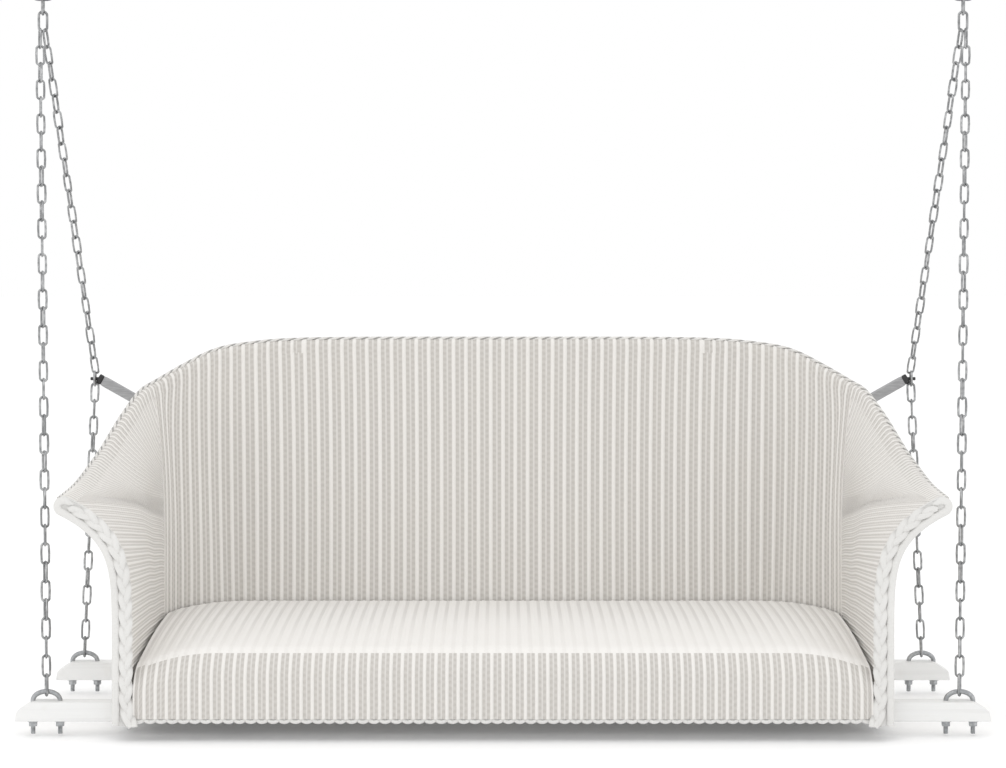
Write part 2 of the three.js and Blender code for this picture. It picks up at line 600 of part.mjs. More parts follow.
const TOP_LINK_Z = HINGE_Z + ROD_RADIUS + RING_WIRE_RADIUS + GAP - RING_HALF_HEIGHT;
const JOINING_LINK_Z = TOP_LINK_Z - 2 * RING_HALF_HEIGHT + 2 * RING_WIRE_RADIUS + GAP;
const STRAND_TOP = JOINING_LINK_Z - RING_HALF_HEIGHT - 16;
const slack = 6; // the strands stop this far from what they hook on
for (const [name, side] of sides) {
  const x = side * APEX_X;
  add(`${name}_top_link`, ring(vec(x, HINGE_Y, TOP_LINK_Z), vec(0, 1, 0), vec(0, 0, 1),
    RING_HALF_WIDTH, RING_HALF_HEIGHT), galvanised);
  add(`${name}_joining_link`, ring(vec(x, HINGE_Y, JOINING_LINK_Z), vec(1, 0, 0), vec(0, 0, 1),
    RING_HALF_WIDTH, RING_HALF_HEIGHT), galvanised);
  const frontTop = vec(side * (APEX_X + 6.5), HINGE_Y - 5, STRAND_TOP);
  const frontFoot = vec(side * CHAIN_X, 0, UBOLT_RISE + ROD_RADIUS + slack);
  const rearTop = vec(side * (APEX_X - 6.5), HINGE_Y + 7, STRAND_TOP);
  const peg = vec(side * PEG_X, PEG_Y, PEG_HEIGHT);
  const rearFoot = vec(side * CHAIN_X, REAR_BEAM_Y, UBOLT_RISE + ROD_RADIUS + slack);
  const upwards = rearTop.clone().sub(peg).normalize();
  const downwards = rearFoot.clone().sub(peg).normalize();
  add(`${name}_front_chain`, strand(frontFoot, frontTop), galvanised);
  const bracketLink = ring(peg, vec(0, 1, 0), vec(0, 0, 1), RING_HALF_WIDTH, RING_HALF_HEIGHT - 4);
  add(`${name}_rear_chain_upper`, strand(peg.clone().addScaledVector(upwards, 20), rearTop), galvanised);
  add(`${name}_rear_chain_lower`,
    join(strand(rearFoot, peg.clone().addScaledVector(downwards, 11)), bracketLink), galvanised);
}

// ---- ceiling plates with their eyes ----
const PLATE_HALF_X = 38;
const PLATE_HALF_Y = 28;
const PLATE_THICKNESS = 5;
const EYE_HALF_SPAN = 17;
const CEILING_Z = HINGE_Z + HINGE_DROP;
function ceilingPlate() {
  const holes = [[-1, -1], [-1, 1], [1, -1], [1, 1]].map(([a, b]) =>
    rod(vec(a * 27, b * 18, 5), vec(a * 27, b * 18, -PLATE_THICKNESS - 5), 2.8, 8));
  return cut(block(-PLATE_HALF_X, PLATE_HALF_X, -PLATE_HALF_Y, PLATE_HALF_Y, -PLATE_THICKNESS, 0), ...holes);
}
function eye() {
  const bend = 9; // radius of the two lower corners
  const corners = [vec(-EYE_HALF_SPAN, 0, HINGE_DROP - PLATE_THICKNESS + 1)];
  for (let i = 0; i <= 4; i++) {
    const a = Math.PI + (Math.PI / 2) * (i / 4);
    corners.push(vec(-EYE_HALF_SPAN + bend + bend * Math.cos(a), 0, bend + bend * Math.sin(a)));
  }
  const rightHalf = corners.toReversed().map((p) => vec(-p.x, 0, p.z));
  const line = [...corners, ...rightHalf];
  const rings = line.map((corner, i) => {
    const before = line[Math.max(0, i - 1)];
    const after = line[Math.min(line.length - 1, i + 1)];
    const along = after.clone().sub(before).normalize();
    const across = vec(0, 1, 0);
    const rise = across.clone().cross(along);
    return roundOutline(ROD_RADIUS, 10).map(([a, b]) =>
      corner.clone().addScaledVector(across, a).addScaledVector(rise, b));
  });
  return loft(rings, roundOutline(ROD_RADIUS, 10));
}
for (const [name, side] of sides) {
  const plate = ceilingPlate().translate(0, 0, HINGE_DROP);
  add(`${name}_ceiling_eye`, join(plate, eye()), castIron).position.set(side * APEX_X, HINGE_Y, HINGE_Z);
}

swing.position.set(0, -HINGE_Y, -CEILING_Z);
const group = new THREE.Group();
group.add(swing);
export default group;
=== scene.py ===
# %% [markdown]
# # A woven porch swing
# A two-seat swing: one curved shell of ribbed loom weave, painted warm white, on two wooden beams that hang
# from four chains. The steel parts, the wood and the collision shapes come from the shared CAD frame. This
# notebook gives the swing its looks: real ribs in the weave, plaited edges, chain made of single links.

import json
import math

import bmesh
import bpy
import numpy as np
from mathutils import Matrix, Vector


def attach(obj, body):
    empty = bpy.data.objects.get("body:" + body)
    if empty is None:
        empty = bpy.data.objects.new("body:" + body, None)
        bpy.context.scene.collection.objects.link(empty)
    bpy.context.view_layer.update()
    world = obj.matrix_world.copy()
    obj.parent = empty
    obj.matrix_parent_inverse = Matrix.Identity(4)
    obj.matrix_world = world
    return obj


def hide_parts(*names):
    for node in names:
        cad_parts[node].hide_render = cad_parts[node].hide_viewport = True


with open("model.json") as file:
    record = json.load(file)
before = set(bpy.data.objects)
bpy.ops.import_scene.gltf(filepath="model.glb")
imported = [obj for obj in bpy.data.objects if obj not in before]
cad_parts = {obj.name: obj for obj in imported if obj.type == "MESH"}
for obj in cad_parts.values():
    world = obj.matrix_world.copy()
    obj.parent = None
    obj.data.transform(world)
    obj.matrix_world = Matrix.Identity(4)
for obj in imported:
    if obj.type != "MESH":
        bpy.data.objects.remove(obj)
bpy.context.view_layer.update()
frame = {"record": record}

# %% [markdown]
# All the sizes below are in metres, measured from the top of the front beam at its middle, because that is
# how a maker would set the swing out on a bench. A finished piece is then lifted into the shared frame, whose
# origin is on the ceiling. "Left" and "right" are those of someone who stands in front of the swing.

# %% Main sizes
SEAT_ORIGIN = Vector((0, -0.276, -1.214))  # the front beam's top, in the shared frame
SIDES = (("left", -1), ("right", 1))

CHAIN_X = 0.750  # middle of the swing to the chains, at the beams
REAR_BEAM_Y = 0.420
HINGE_Y = 0.276  # the chains meet here
APEX_X = 0.798
SHELL_HALF = 0.015  # the woven faces stand this far from the middle of the shell
FLARE_START = 0.072  # the walls are upright below this height
ARM_STATION = 11  # stations are counted from the middle of the back round to the arm fronts
RIM_MARGIN = 0.012  # the weave ends this far from the rim's centre line

# %% [markdown]
# ## Camera, floor and light
# The swing is seen from straight in front, from above the seat, through a long lens. The camera looks almost
# level and its lens is shifted down, as a product photographer does it, so that upright things stay upright.
# The room is a pale studio: a large soft lamp above the viewer, one at each side, one behind, and an even white
# surround. The floor glows a little, so that it is as white as the walls and the shade under the seat is soft.

# %% Camera
LENS = 99.6  # millimetres, on a sensor 36 mm wide
LENS_SHIFT = -0.0994
CAMERA_PLACE = (0.0, -4.836, -0.442)
TILT_DOWN = math.radians(1.10)

camera_data = bpy.data.cameras.new("camera")
camera = bpy.data.objects.new("camera", camera_data)
bpy.context.scene.collection.objects.link(camera)
bpy.context.scene.camera = camera
camera_data.lens = LENS
camera_data.sensor_width = 36
camera_data.shift_y = LENS_SHIFT
camera.location = CAMERA_PLACE
camera.rotation_euler = (math.radians(90) - TILT_DOWN, 0, 0)
print("camera at", tuple(camera.location))

# %% Floor
FLOOR_Z = -1.272
FLOOR_GLOW = 0.11

studio_white = bpy.data.materials.new("studio_white")
studio_white.use_nodes = True
floor_shader = studio_white.node_tree.nodes["Principled BSDF"]
floor_shader.inputs["Base Color"].default_value = (0.93, 0.93, 0.93, 1)
floor_shader.inputs["Roughness"].default_value = 0.9
floor_shader.inputs["Specular IOR Level"].default_value = 0.1
floor_shader.inputs["Emission Color"].default_value = (1, 1, 1, 1)
floor_shader.inputs["Emission Strength"].default_value = FLOOR_GLOW

bpy.ops.mesh.primitive_plane_add(size=60, location=(0, 0, FLOOR_Z))
floor = bpy.context.object
floor.name = "studio_floor"
floor.data.materials.append(studio_white)
print("floor at", FLOOR_Z)

# %% Lamps
world = bpy.data.worlds.new("studio")
bpy.context.scene.world = world
world.use_nodes = True
surround = world.node_tree.nodes["Background"]
surround.inputs["Color"].default_value = (1.0, 1.0, 1.0, 1)
surround.inputs["Strength"].default_value = 1.0
bpy.context.scene.view_settings.view_transform = "Standard"
LAMP_AIM = Vector((0, 0, -0.9))


def lamp(name, place, size, power):
    """A square soft lamp that looks at the seat."""
    data = bpy.data.lights.new(name, "AREA")
    data.size = size
    data.energy = power
    light = bpy.data.objects.new(name, data)
    light.location = place
    light.rotation_euler = (LAMP_AIM - Vector(place)).to_track_quat("-Z", "Y").to_euler()
    bpy.context.scene.collection.objects.link(light)
    print(name, power, "W")


lamp("lamp_above", (-0.8, -2.6, 2.6), 2.0, 14)
lamp("lamp_left", (-3.2, -1.8, 0.2), 1.6, 6)
lamp("lamp_right", (3.2, -2.0, 0.4), 1.6, 4)
lamp("lamp_behind", (0.5, 3.0, 1.8), 2.4, 10)

# %% [markdown]
# ## Shader arithmetic
# A procedural finish is a little sum: how far is this point from a rib, how deep is the weave here. Wiring
# Math nodes by hand hides that sum, so a small class wraps one output of a node and lets Python write it as
# an expression. Another class holds a material and adds every other kind of node in one way.


# %% Shader helpers
class Flow:
    """One output of a shader node. Arithmetic on it adds Math nodes."""

    def __init__(self, finish, socket):
        self.finish = finish
        self.socket = socket

    def maths(self, operation, *others, first=None):
        """A Math node on this output and the others; a first value comes before this output."""
        values = [self, *others] if first is None else [first, self]
        return self.finish.node("ShaderNodeMath", {"operation": operation}, dict(enumerate(values)))

    def __add__(self, other):
        return self.maths("ADD", other)

    def __radd__(self, other):
        return self.maths("ADD", first=other)

    def __sub__(self, other):
        return self.maths("SUBTRACT", other)

    def __rsub__(self, other):
        return self.maths("SUBTRACT", first=other)

    def __mul__(self, other):
        return self.maths("MULTIPLY", other)

    def __rmul__(self, other):
        return self.maths("MULTIPLY", first=other)

    def __truediv__(self, other):
        return self.maths("DIVIDE", other)

    def __rtruediv__(self, other):
        return self.maths("DIVIDE", first=other)

    def __mod__(self, other):
        return self.maths("FLOORED_MODULO", other)

    def __rmod__(self, other):
        return self.maths("FLOORED_MODULO", first=other)

    def __abs__(self):
        return self.maths("ABSOLUTE")

    def floor(self):
        return self.maths("FLOOR")

    def sine(self):
        return self.maths("SINE")

    def rise(self, low, high):
        """0 below low, 1 above high, and a soft step between."""
        sockets = {"Value": self, "From Min": low, "From Max": high}
        return self.finish.node("ShaderNodeMapRange", {"interpolation_type": "SMOOTHSTEP"}, sockets)


class Finish:
    """A material with one Principled shader."""

    def __init__(self, name, constants):
        self.material = bpy.data.materials.new(name)
        self.material.use_nodes = True
        self.tree = self.material.node_tree
        self.shader = self.tree.nodes["Principled BSDF"]
        for socket, value in constants.items():
            self.shader.inputs[socket].default_value = value

    def put(self, socket, value):
        """Links a Flow to a socket, or sets its value."""
        if isinstance(value, Flow):
            self.tree.links.new(value.socket, socket)
        else:
            socket.default_value = value

    def node(self, kind, settings=None, sockets=None, output=0):
        """Adds a node: its settings first, then the values or links of its sockets."""
        made = self.tree.nodes.new(kind)
        settings = dict(settings or {})
        for setting, value in settings.items():
            setattr(made, setting, value)
        for key, value in (sockets or {}).items():
            self.put(made.inputs[key], value)
        return Flow(self, made.outputs[output])

    def mix(self, share, first, second):
        """Blends two colours; a share of 0 gives the first."""
        first, second = ((*c, 1) if isinstance(c, tuple) else c for c in (first, second))
        return self.node("ShaderNodeMix", {"data_type": "RGBA"}, {0: share, 6: first, 7: second}, output=2)

    def place(self, scale=(1, 1, 1)):
        """Object coordinates, stretched."""
        where = self.node("ShaderNodeTexCoord", output=3)
        return self.node("ShaderNodeMapping", None, {"Vector": where, "Scale": scale})

    def noise(self, scale, detail, vector=None):
        """Soft random patches; a larger scale makes them smaller."""
        sockets = {"Vector": vector or self.place(), "Scale": scale, "Detail": detail, "Roughness": 0.5}
        return self.node("ShaderNodeTexNoise", None, sockets)

    def own_uv(self):
        """The two numbers of the piece's own UV map."""
        uv = self.node("ShaderNodeUVMap", {"uv_map": "pattern"})
        return [self.node("ShaderNodeSeparateXYZ", None, {0: uv}, output=k) for k in (0, 1)]

    def dress(self, colour, roughness, height, depth):
        """Feeds what varies over the surface to the shader; depth is the height of the bumps in metres."""
        self.put(self.shader.inputs["Base Color"], colour)
        self.put(self.shader.inputs["Roughness"], roughness)
        bump = self.node("ShaderNodeBump", None, {"Height": height, "Distance": depth, "Strength": 1.0})
        self.put(self.shader.inputs["Normal"], bump)
        return self.material


# %% [markdown]
# ## The woven finish
# Loom weave is paper cord: fat upright warps with a wire core make the ribs, a thin warp runs midway between
# two ribs, and fine weft cords pass over and under them. It is all painted one warm white; the gaps' darker
# colour is painted shade in the recesses. The panel's UV map counts ribs one way and metres the other, so the
# pattern follows the ribs round every bend. The ribs are real relief in the mesh; the finish adds the weft rows and
# the cord's twist.
# On the seat's top a lighter copy of the finish paints the light that falls there: paler ribs and gaps, most of all
# in front.


# %% Woven finish
RIB_COLOUR = (0.822, 0.801, 0.771)
# the gaps' darker colour is painted shade in the recesses between the cords
GAP_SHADE_COLOUR = (0.543, 0.518, 0.487)
AGED_COLOUR = (0.72, 0.685, 0.61)  # old paint, in faint patches
WEFT_ROW = 0.0053
WARP_TWIST = 0.0042  # a warp's cord turns once in this length


def woven_finish(name, gap_shade_colour=GAP_SHADE_COLOUR, thin_share=0.6, rib_colour=RIB_COLOUR, reach=0.12, lit_front=None):
    """reach is how far the rib's colour spreads from a rib. The last argument gives a lighter gap colour, painted
    light, for gaps far from the back edge and the sides, and the panel's middle rib.
    """
    finish = Finish(name, {"Specular IOR Level": 0.3, "Sheen Weight": 0.08})
    ribs, length = finish.own_uv()
    if lit_front:
        lit_gap_colour, middle_rib = lit_front
        # painted light and shade: the gaps grow lighter away from the back edge and the sides, and stay darker near
        # them
        to_side = abs(ribs - middle_rib) / middle_rib
        gap_shade_colour = finish.mix((length - to_side * 0.14).rise(0.10, 0.40), gap_shade_colour, lit_gap_colour)
    from_rib = abs((ribs + 0.5) % 1.0 - 0.5)
    rib = 1 - from_rib.rise(reach, reach * 0.8 + 0.094)
    thin = from_rib.rise(0.41, 0.455)
    side_of_warp = (ribs * 2).floor() % 2
    weft = (math.pi * (length / WEFT_ROW + side_of_warp)).sine() * 0.5 + 0.5
    open_weave = (1 - rib) * (1 - thin)
    cord = rib + thin * thin_share + open_weave * weft * 0.22
    patches = finish.noise(9.0, 2)
    fibre = finish.noise(650.0, 2)
    shade = finish.mix(cord, gap_shade_colour, rib_colour)
    aged = finish.mix((patches - 0.35) * 0.35, shade, finish.mix(0.5, shade, AGED_COLOUR))
    twist = (2 * math.pi * (length / WARP_TWIST + from_rib * 1.6)).sine() * 0.5 + 0.5
    height = open_weave * weft * 0.55 + rib * twist * 0.10 + thin * 0.25 + fibre * 0.12
    return finish.dress(aged, 0.62 + fibre * 0.2, height, 0.0009)


weave = woven_finish("loom_weave_painted")
# the arms' copy has lighter gaps: less painted shade than on the back
arm_weave = woven_finish("loom_weave_arms", (0.604, 0.580, 0.550), 0.9)
print("made", weave.name, "and", arm_weave.name)

# %% [markdown]
# The plaits, the rolled rim and the hem are thicker cord under the same paint. Their UV map runs along the
# cord in metres and once round it. A "crease" attribute, which the sweep stores, darkens the colour where two
# turns of the cord meet: painted shade.


# %% Cord finish
CORD_TWIST = 0.006


def cord_finish(name, colour, patch_and_crease_shade_colour):
    finish = Finish(name, {"Specular IOR Level": 0.3, "Sheen Weight": 0.05})
    along, around = finish.own_uv()
    crease = finish.node("ShaderNodeAttribute", {"attribute_name": "crease"}, output=2)
    twist = (2 * math.pi * (along / CORD_TWIST + around * 2.0)).sine() * 0.5 + 0.5
    patches = finish.noise(14.0, 2)
    fibre = finish.noise(500.0, 2)
    base = finish.mix(patches * 0.25, colour, patch_and_crease_shade_colour)
    # painted shade: the colour goes towards the dark colour where the cord's turns meet
    shade = finish.mix(crease, base, patch_and_crease_shade_colour)
    return finish.dress(shade, 0.58 + fibre * 0.22, twist * 0.35 + fibre * 0.2, 0.0006)


cord_white = cord_finish("loom_cord_painted", (0.775, 0.768, 0.750), (0.47, 0.46, 0.44))
print("made", cord_white.name)

# %% [markdown]
# ## Wood and metal finishes
# The beams are painted wood: brush strokes and a hint of grain run along them. The chain and the bolts are
# galvanised steel, whose zinc shows as soft patches of lighter and darker grey. The two brackets are satin
# metal with fine drawn lines, and their end plugs are black moulded plastic.


# %% Painted wood
def wood_finish():
    finish = Finish("white_painted_wood", {"Specular IOR Level": 0.4})
    strokes = finish.noise(1.0, 4, finish.place((9, 900, 900)))
    grain = finish.noise(1.0, 3, finish.place((3, 140, 140)))
    wear = finish.noise(26.0, 3)
    paint = finish.mix(grain.rise(0.45, 0.75) * 0.5, (0.83, 0.83, 0.82), (0.75, 0.745, 0.735))
    aged = finish.mix(wear.rise(0.62, 0.8) * 0.4, paint, (0.74, 0.72, 0.68))
    return finish.dress(aged, 0.42 + strokes * 0.2, strokes * 0.3 + grain * 0.4, 0.0006)


painted_wood = wood_finish()
print("made", painted_wood.name)


# %% Metals
def metal_finish(name, light, dark, roughness, patch=120.0, stretch=(1, 1, 1), metallic=1.0):
    """light and dark are the greys of its patches; stretch draws them out into lines."""
    finish = Finish(name, {"Metallic": metallic})
    spangle_sockets = {"Vector": finish.place(stretch), "Scale": patch}
    spangle = finish.node("ShaderNodeTexVoronoi", None, spangle_sockets, output=0)
    soft = finish.noise(45.0, 4, finish.place(stretch))
    shade = finish.mix((spangle * 0.5 + soft * 0.7).rise(0.25, 0.85), light, dark)
    fine = finish.noise(900.0, 2, finish.place(stretch))
    return finish.dress(shade, roughness + soft * 0.2, fine * 0.5 + soft * 0.3, 0.0002)


chain_zinc = metal_finish("galvanised_chain_zinc", (0.52, 0.525, 0.53), (0.25, 0.255, 0.26), 0.26)
bolt_zinc = metal_finish("zinc_plated_bolts", (0.52, 0.53, 0.54), (0.34, 0.35, 0.36), 0.24, 200.0)
ceiling_iron = metal_finish("galvanised_wrought_iron", (0.42, 0.43, 0.44), (0.27, 0.28, 0.29), 0.38, 90.0)
bracket_metal = metal_finish(
    "satin_bracket_metal", (0.44, 0.44, 0.445), (0.34, 0.34, 0.345), 0.34, 60.0, stretch=(1, 12, 12))
frame_paint = metal_finish(
    "grey_frame_powder_coat", (0.20, 0.21, 0.22), (0.15, 0.155, 0.16), 0.40, 90.0, metallic=0.2)


def plastic_finish():
    finish = Finish("black_plug_plastic", {"Specular IOR Level": 0.45})
    grain = finish.noise(700.0, 2)
    shade = finish.mix(finish.noise(60.0, 2), (0.018, 0.018, 0.019), (0.035, 0.035, 0.036))
    return finish.dress(shade, 0.40 + grain * 0.15, grain, 0.0001)


black_plastic = plastic_finish()
print("made five metals and", black_plastic.name)

# %% [markdown]
# ## Workshop helpers
# A few things are done to every piece, so they are written once: pick parts of a mesh by their place, finish
# edges, lift the piece from bench measure into the shared frame, give it its finish and hand it over to its body.


# %% Helpers for pieces
def start_clean():
    """Nothing selected, in object mode."""
    if bpy.context.object and bpy.context.object.mode != "OBJECT":
        bpy.ops.object.mode_set(mode="OBJECT")
    bpy.ops.object.select_all(action="DESELECT")


def make_active(piece):
    start_clean()
    bpy.context.view_layer.objects.active = piece
    piece.select_set(True)


def pick_vertices(piece, wanted):
    """In edit mode, selects the vertices whose place passes the test, and nothing else."""
    bpy.ops.mesh.select_mode(type="VERT")
    bpy.ops.mesh.select_all(action="DESELECT")
    mesh = bmesh.from_edit_mesh(piece.data)
    for vertex in mesh.verts:
        vertex.select = bool(wanted(vertex.co))
    mesh.select_flush_mode()
    bmesh.update_edit_mesh(piece.data)


def apply_place(piece):
    """Moves the object's place, turn and scale into its mesh."""
    make_active(piece)
    bpy.ops.object.transform_apply(location=True, rotation=True, scale=True)


def round_edges(piece, width, segments=2, angle=35):
    """Rounds the sharp edges with a Bevel modifier, then applies it."""
    make_active(piece)
    bevel = piece.modifiers.new("round", "BEVEL")
    bevel.width = width
    bevel.segments = segments
    bevel.limit_method = "ANGLE"
    bevel.angle_limit = math.radians(angle)
    bpy.ops.object.modifier_apply(modifier=bevel.name)
    bpy.ops.object.shade_smooth_by_angle(angle=math.radians(40))


def give_thickness(piece, thickness):
    """Gives cloth its wall with a Solidify modifier, on the side that its faces turn away from."""
    make_active(piece)
    wall = piece.modifiers.new("wall", "SOLIDIFY")
    wall.thickness = thickness
    wall.offset = -1
    bpy.ops.object.modifier_apply(modifier=wall.name)


def put_on_bench(name, mesh):
    """Makes an object of a mesh, and picks it."""
    piece = bpy.data.objects.new(name, mesh)
    bpy.context.scene.collection.objects.link(piece)
    make_active(piece)
    return piece


def turn_faces_out(piece):
    make_active(piece)
    bpy.ops.object.mode_set(mode="EDIT")
    bpy.ops.mesh.select_all(action="SELECT")
    bpy.ops.mesh.normals_make_consistent(inside=False)
    bpy.ops.object.mode_set(mode="OBJECT")


def join_pieces(name, parts):
    """Makes one mesh of several objects."""
    start_clean()
    for part in parts:
        part.select_set(True)
    bpy.context.view_layer.objects.active = parts[0]
    bpy.ops.object.join()
    whole = bpy.context.object
    whole.name = name
    return whole


def settle(piece, material, slot, *nodes, body="swing"):
    """Lifts a finished piece from bench measure into the shared frame and hands it over."""
    apply_place(piece)
    piece.location = SEAT_ORIGIN
    apply_place(piece)
    piece.data.materials.clear()
    piece.data.materials.append(material)
    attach(piece, body)
    if nodes:
        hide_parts(*nodes)
    triangles = sum(len(face.vertices) - 2 for face in piece.data.polygons)
    print(piece.name, triangles, "triangles")
    return piece


# %% [markdown]
# A cord, a bent rod or a bar is a section swept along a path. Blender's own curves can do this, but here the
# section must breathe, as where a rope's strands meet, and the pattern needs true length along the cord. So
# the sweep builds its rings directly.


# %% Sweep
def unit(vectors):
    return vectors / np.linalg.norm(vectors, axis=-1, keepdims=True)


def lengths_along(path):
    """The distance from the path's start to each of its points."""
    steps = np.linalg.norm(np.diff(path, axis=0), axis=1)
    return np.concatenate(([0], np.cumsum(steps)))


def round_section(half_width, half_height=None, sides=10):
    turn = 2 * np.pi * np.arange(sides) / sides
    return np.stack((half_width * np.cos(turn), (half_height or half_width) * np.sin(turn)), 1)


def flat_oval_section(half_width, half_height, steps=6):
    """A slot shape: two half circles joined by straight sides."""
    straight = half_height - half_width
    top = np.linspace(0, np.pi, steps + 1)
    upper = np.stack((half_width * np.cos(top), straight + half_width * np.sin(top)), 1)
    return np.concatenate((upper, -upper))


def ring_points(path, section, out, scale):
    """Turns the section to the path at each of its points; out is where the section's second axis points."""
    after = np.concatenate((path[1:], path[-1:]))
    before = np.concatenate((path[:1], path[:-1]))
    along = unit(after - before)
    side = unit(np.cross(along, np.broadcast_to(out, path.shape)))
    rise = np.cross(side, along)
    across = (scale * section[:, 0])[..., None] * side[:, None]
    upward = (scale * section[:, 1])[..., None] * rise[:, None]
    return (path[:, None] + across + upward).reshape(-1, 3)


def tube_faces(length, sides):
    """Faces between the rings and over both ends, and the pattern's coordinates at their corners."""
    faces = []
    pattern = []
    for ring, (near, far) in enumerate(zip(length[:-1], length[1:])):
        here = ring * sides
        there = here + sides
        for k in range(sides):
            j = (k + 1) % sides
            faces.append((here + k, there + k, there + j, here + j))
            low = k / sides
            high = (k + 1) / sides
            pattern += [near, low, far, low, far, high, near, high]
    last = (len(length) - 1) * sides
    faces.append(tuple(range(sides)))
    faces.append(tuple(last + k for k in reversed(range(sides))))
    pattern += [0.0, 0.0] * (2 * sides)
    return faces, pattern


def sweep(name, path, section, out, scale=1.0, crease=0.0):
    """scale and crease may differ from ring to ring and round each ring."""
    size = (len(path), len(section))
    points = ring_points(path, section, out, np.broadcast_to(scale, size))
    faces, pattern = tube_faces(lengths_along(path), len(section))
    mesh = bpy.data.meshes.new(name)
    mesh.from_pydata(points.tolist(), [], faces)
    mesh.uv_layers.new(name="pattern").data.foreach_set("uv", pattern)
    creases = np.broadcast_to(crease, size).ravel()
    mesh.attributes.new("crease", "FLOAT", "POINT").data.foreach_set("value", creases)
    piece = put_on_bench(name, mesh)
    bpy.ops.object.shade_smooth_by_angle(angle=math.radians(50))
    return piece


# %% [markdown]
# ## The curved shell
# The whole shell is one surface between two lines: the seat's outline seen from above, and the rim. The
# stations count from the middle of the back (0), round the corner (5 to 7), to the arm front (11). Near the
# seat the wall is upright. Higher up it leans out to the rim, late and sharply on the arms, which curl over.

# %% The shell's two lines
SEAT_PLAN = (
    (0, 0.515, 0), (0.376, 0.515, 0), (0.446, 0.515, 0), (0.513, 0.508, 0),
    (0.566, 0.481, 0), (0.598, 0.448, 0), (0.613, 0.408, 0), (0.6185, 0.352, 0),
    (0.619, 0.257, 0), (0.619, 0.190, 0), (0.619, 0.075, 0), (0.619, -0.044, 0),
)
RIM_LINE = (
    (0, 0.600, 0.558), (0.379, 0.600, 0.556), (0.453, 0.598, 0.551), (0.530, 0.590, 0.538),
    (0.590, 0.562, 0.510), (0.633, 0.505, 0.484), (0.652, 0.460, 0.471), (0.670, 0.380, 0.435),
    (0.690, 0.270, 0.381), (0.698, 0.200, 0.360), (0.706, 0.080, 0.336), (0.713, -0.044, 0.325),
)


def both_sides(line):
    """The line and its mirror image, from the left arm to the right one."""
    line = np.array(line)
    return np.concatenate((line[:0:-1] * (-1, 1, 1), line))


def through(points, place):
    """A smooth curve through the points; place counts them from 0 and may be an array."""
    points = np.asarray(points, float)
    place = np.clip(np.asarray(place, float), 0, len(points) - 1 - 1e-9)
    index = np.floor(place).astype(int)
    share = (place - index)[..., None]
    longer = np.concatenate(([2 * points[0] - points[1]], points, [2 * points[-1] - points[-2]]))
    p0, p1, p2, p3 = (longer[index + k] for k in range(4))
    g0, g1, g2 = (np.linalg.norm(step, axis=-1, keepdims=True) ** 0.5 for step in (p1 - p0, p2 - p1, p3 - p2))
    start = ((p1 - p0) / g0 - (p2 - p0) / (g0 + g1) + (p2 - p1) / g1) * g1
    end = ((p2 - p1) / g1 - (p3 - p1) / (g1 + g2) + (p3 - p2) / g2) * g1
    bend = (-3 * p1 + 3 * p2 - 2 * start - end) * share**2 + (2 * p1 - 2 * p2 + start + end) * share**3
    return p1 + start * share + bend


def foot_at(station):
    return through(both_sides(SEAT_PLAN), np.asarray(station) + ARM_STATION)


def rim_at(station):
    return through(both_sides(RIM_LINE), np.asarray(station) + ARM_STATION)


# %% The surface between them
def shell(station, height):
    """Points on the middle of the shell."""
    foot = foot_at(station)
    rim = rim_at(station)
    share = np.maximum(0, (height - FLARE_START) / (rim[..., 2] - FLARE_START))
    turn = np.clip((np.abs(station) - 3) / 5, 0, 1)
    power = 1 + 4.4 * turn * turn * (3 - 2 * turn)
    out = (share**power)[..., None]
    place = foot + (rim - foot) * out
    place[..., 2] = height
    return place


def shell_out(station, height):
    """The direction out of the shell, away from the sitters."""
    along = shell(station + 0.03, height) - shell(station - 0.03, height)
    rise = shell(station, height + 0.001) - shell(station, height - 0.001)
    return unit(np.cross(rise, along))


def stations_by_length(line_at, end, shares):
    """Stations that divide a line evenly by length; shares run from -1 to 1."""
    fine = np.linspace(0, end, 600)
    length = lengths_along(line_at(fine))
    return np.sign(shares) * np.interp(np.abs(shares) * length[-1], length, fine)


def find_weave_tops(stations):
    """The height on the shell that is RIM_MARGIN away from the rim, found by halving the range."""
    rim = rim_at(stations)
    low = rim[:, 2] - 2 * RIM_MARGIN
    high = rim[:, 2] - 0.0005
    for _ in range(24):
        middle = (low + high) / 2
        near = np.linalg.norm(shell(stations, middle) - rim, axis=1) < RIM_MARGIN
        high = np.where(near, middle, high)
        low = np.where(near, low, middle)
    return (low + high) / 2


TOP_STATIONS = np.linspace(-ARM_STATION, ARM_STATION, 441)
WEAVE_TOPS = find_weave_tops(TOP_STATIONS)


def weave_top(station):
    return np.interp(station, TOP_STATIONS, WEAVE_TOPS)


half_rim = lengths_along(rim_at(np.linspace(0, ARM_STATION, 200)))[-1]
print("the rim is", round(2 * float(half_rim), 3), "m long")

# %% [markdown]
# ## Woven panels
# A woven panel starts as a flat grid. Eight columns of points make one rib and its gap: a rounded fat rib,
# then flat weave, then the low thin warp midway. The grid is laid on the shell rib by rib, and each point is
# pushed off the surface by the height of the weave there. A Solidify modifier then gives the cloth its wall.

# %% Rib by rib
RIB_PROFILE = (  # places across one rib's pitch, and the cloth's height there
    (0.0, 1.0), (0.09, 0.82), (0.165, 0.0), (0.425, 0.0), (0.5, 0.34), (0.575, 0.0), (0.835, 0.0), (0.91, 0.82),
)
RIB_HEIGHT = 0.0019
LOWEST_CROWDED = 0.12  # crowded ribs keep at least this share of their height
WALL = 0.0024


def rib_columns(ribs):
    """Rib counts and heights of the columns of a panel with this many ribs."""
    count = [rib + offset for rib in range(ribs) for offset, _ in RIB_PROFILE] + [float(ribs)]
    height = [high for _ in range(ribs) for _, high in RIB_PROFILE] + [1.0]
    return np.array(count), np.array(height)


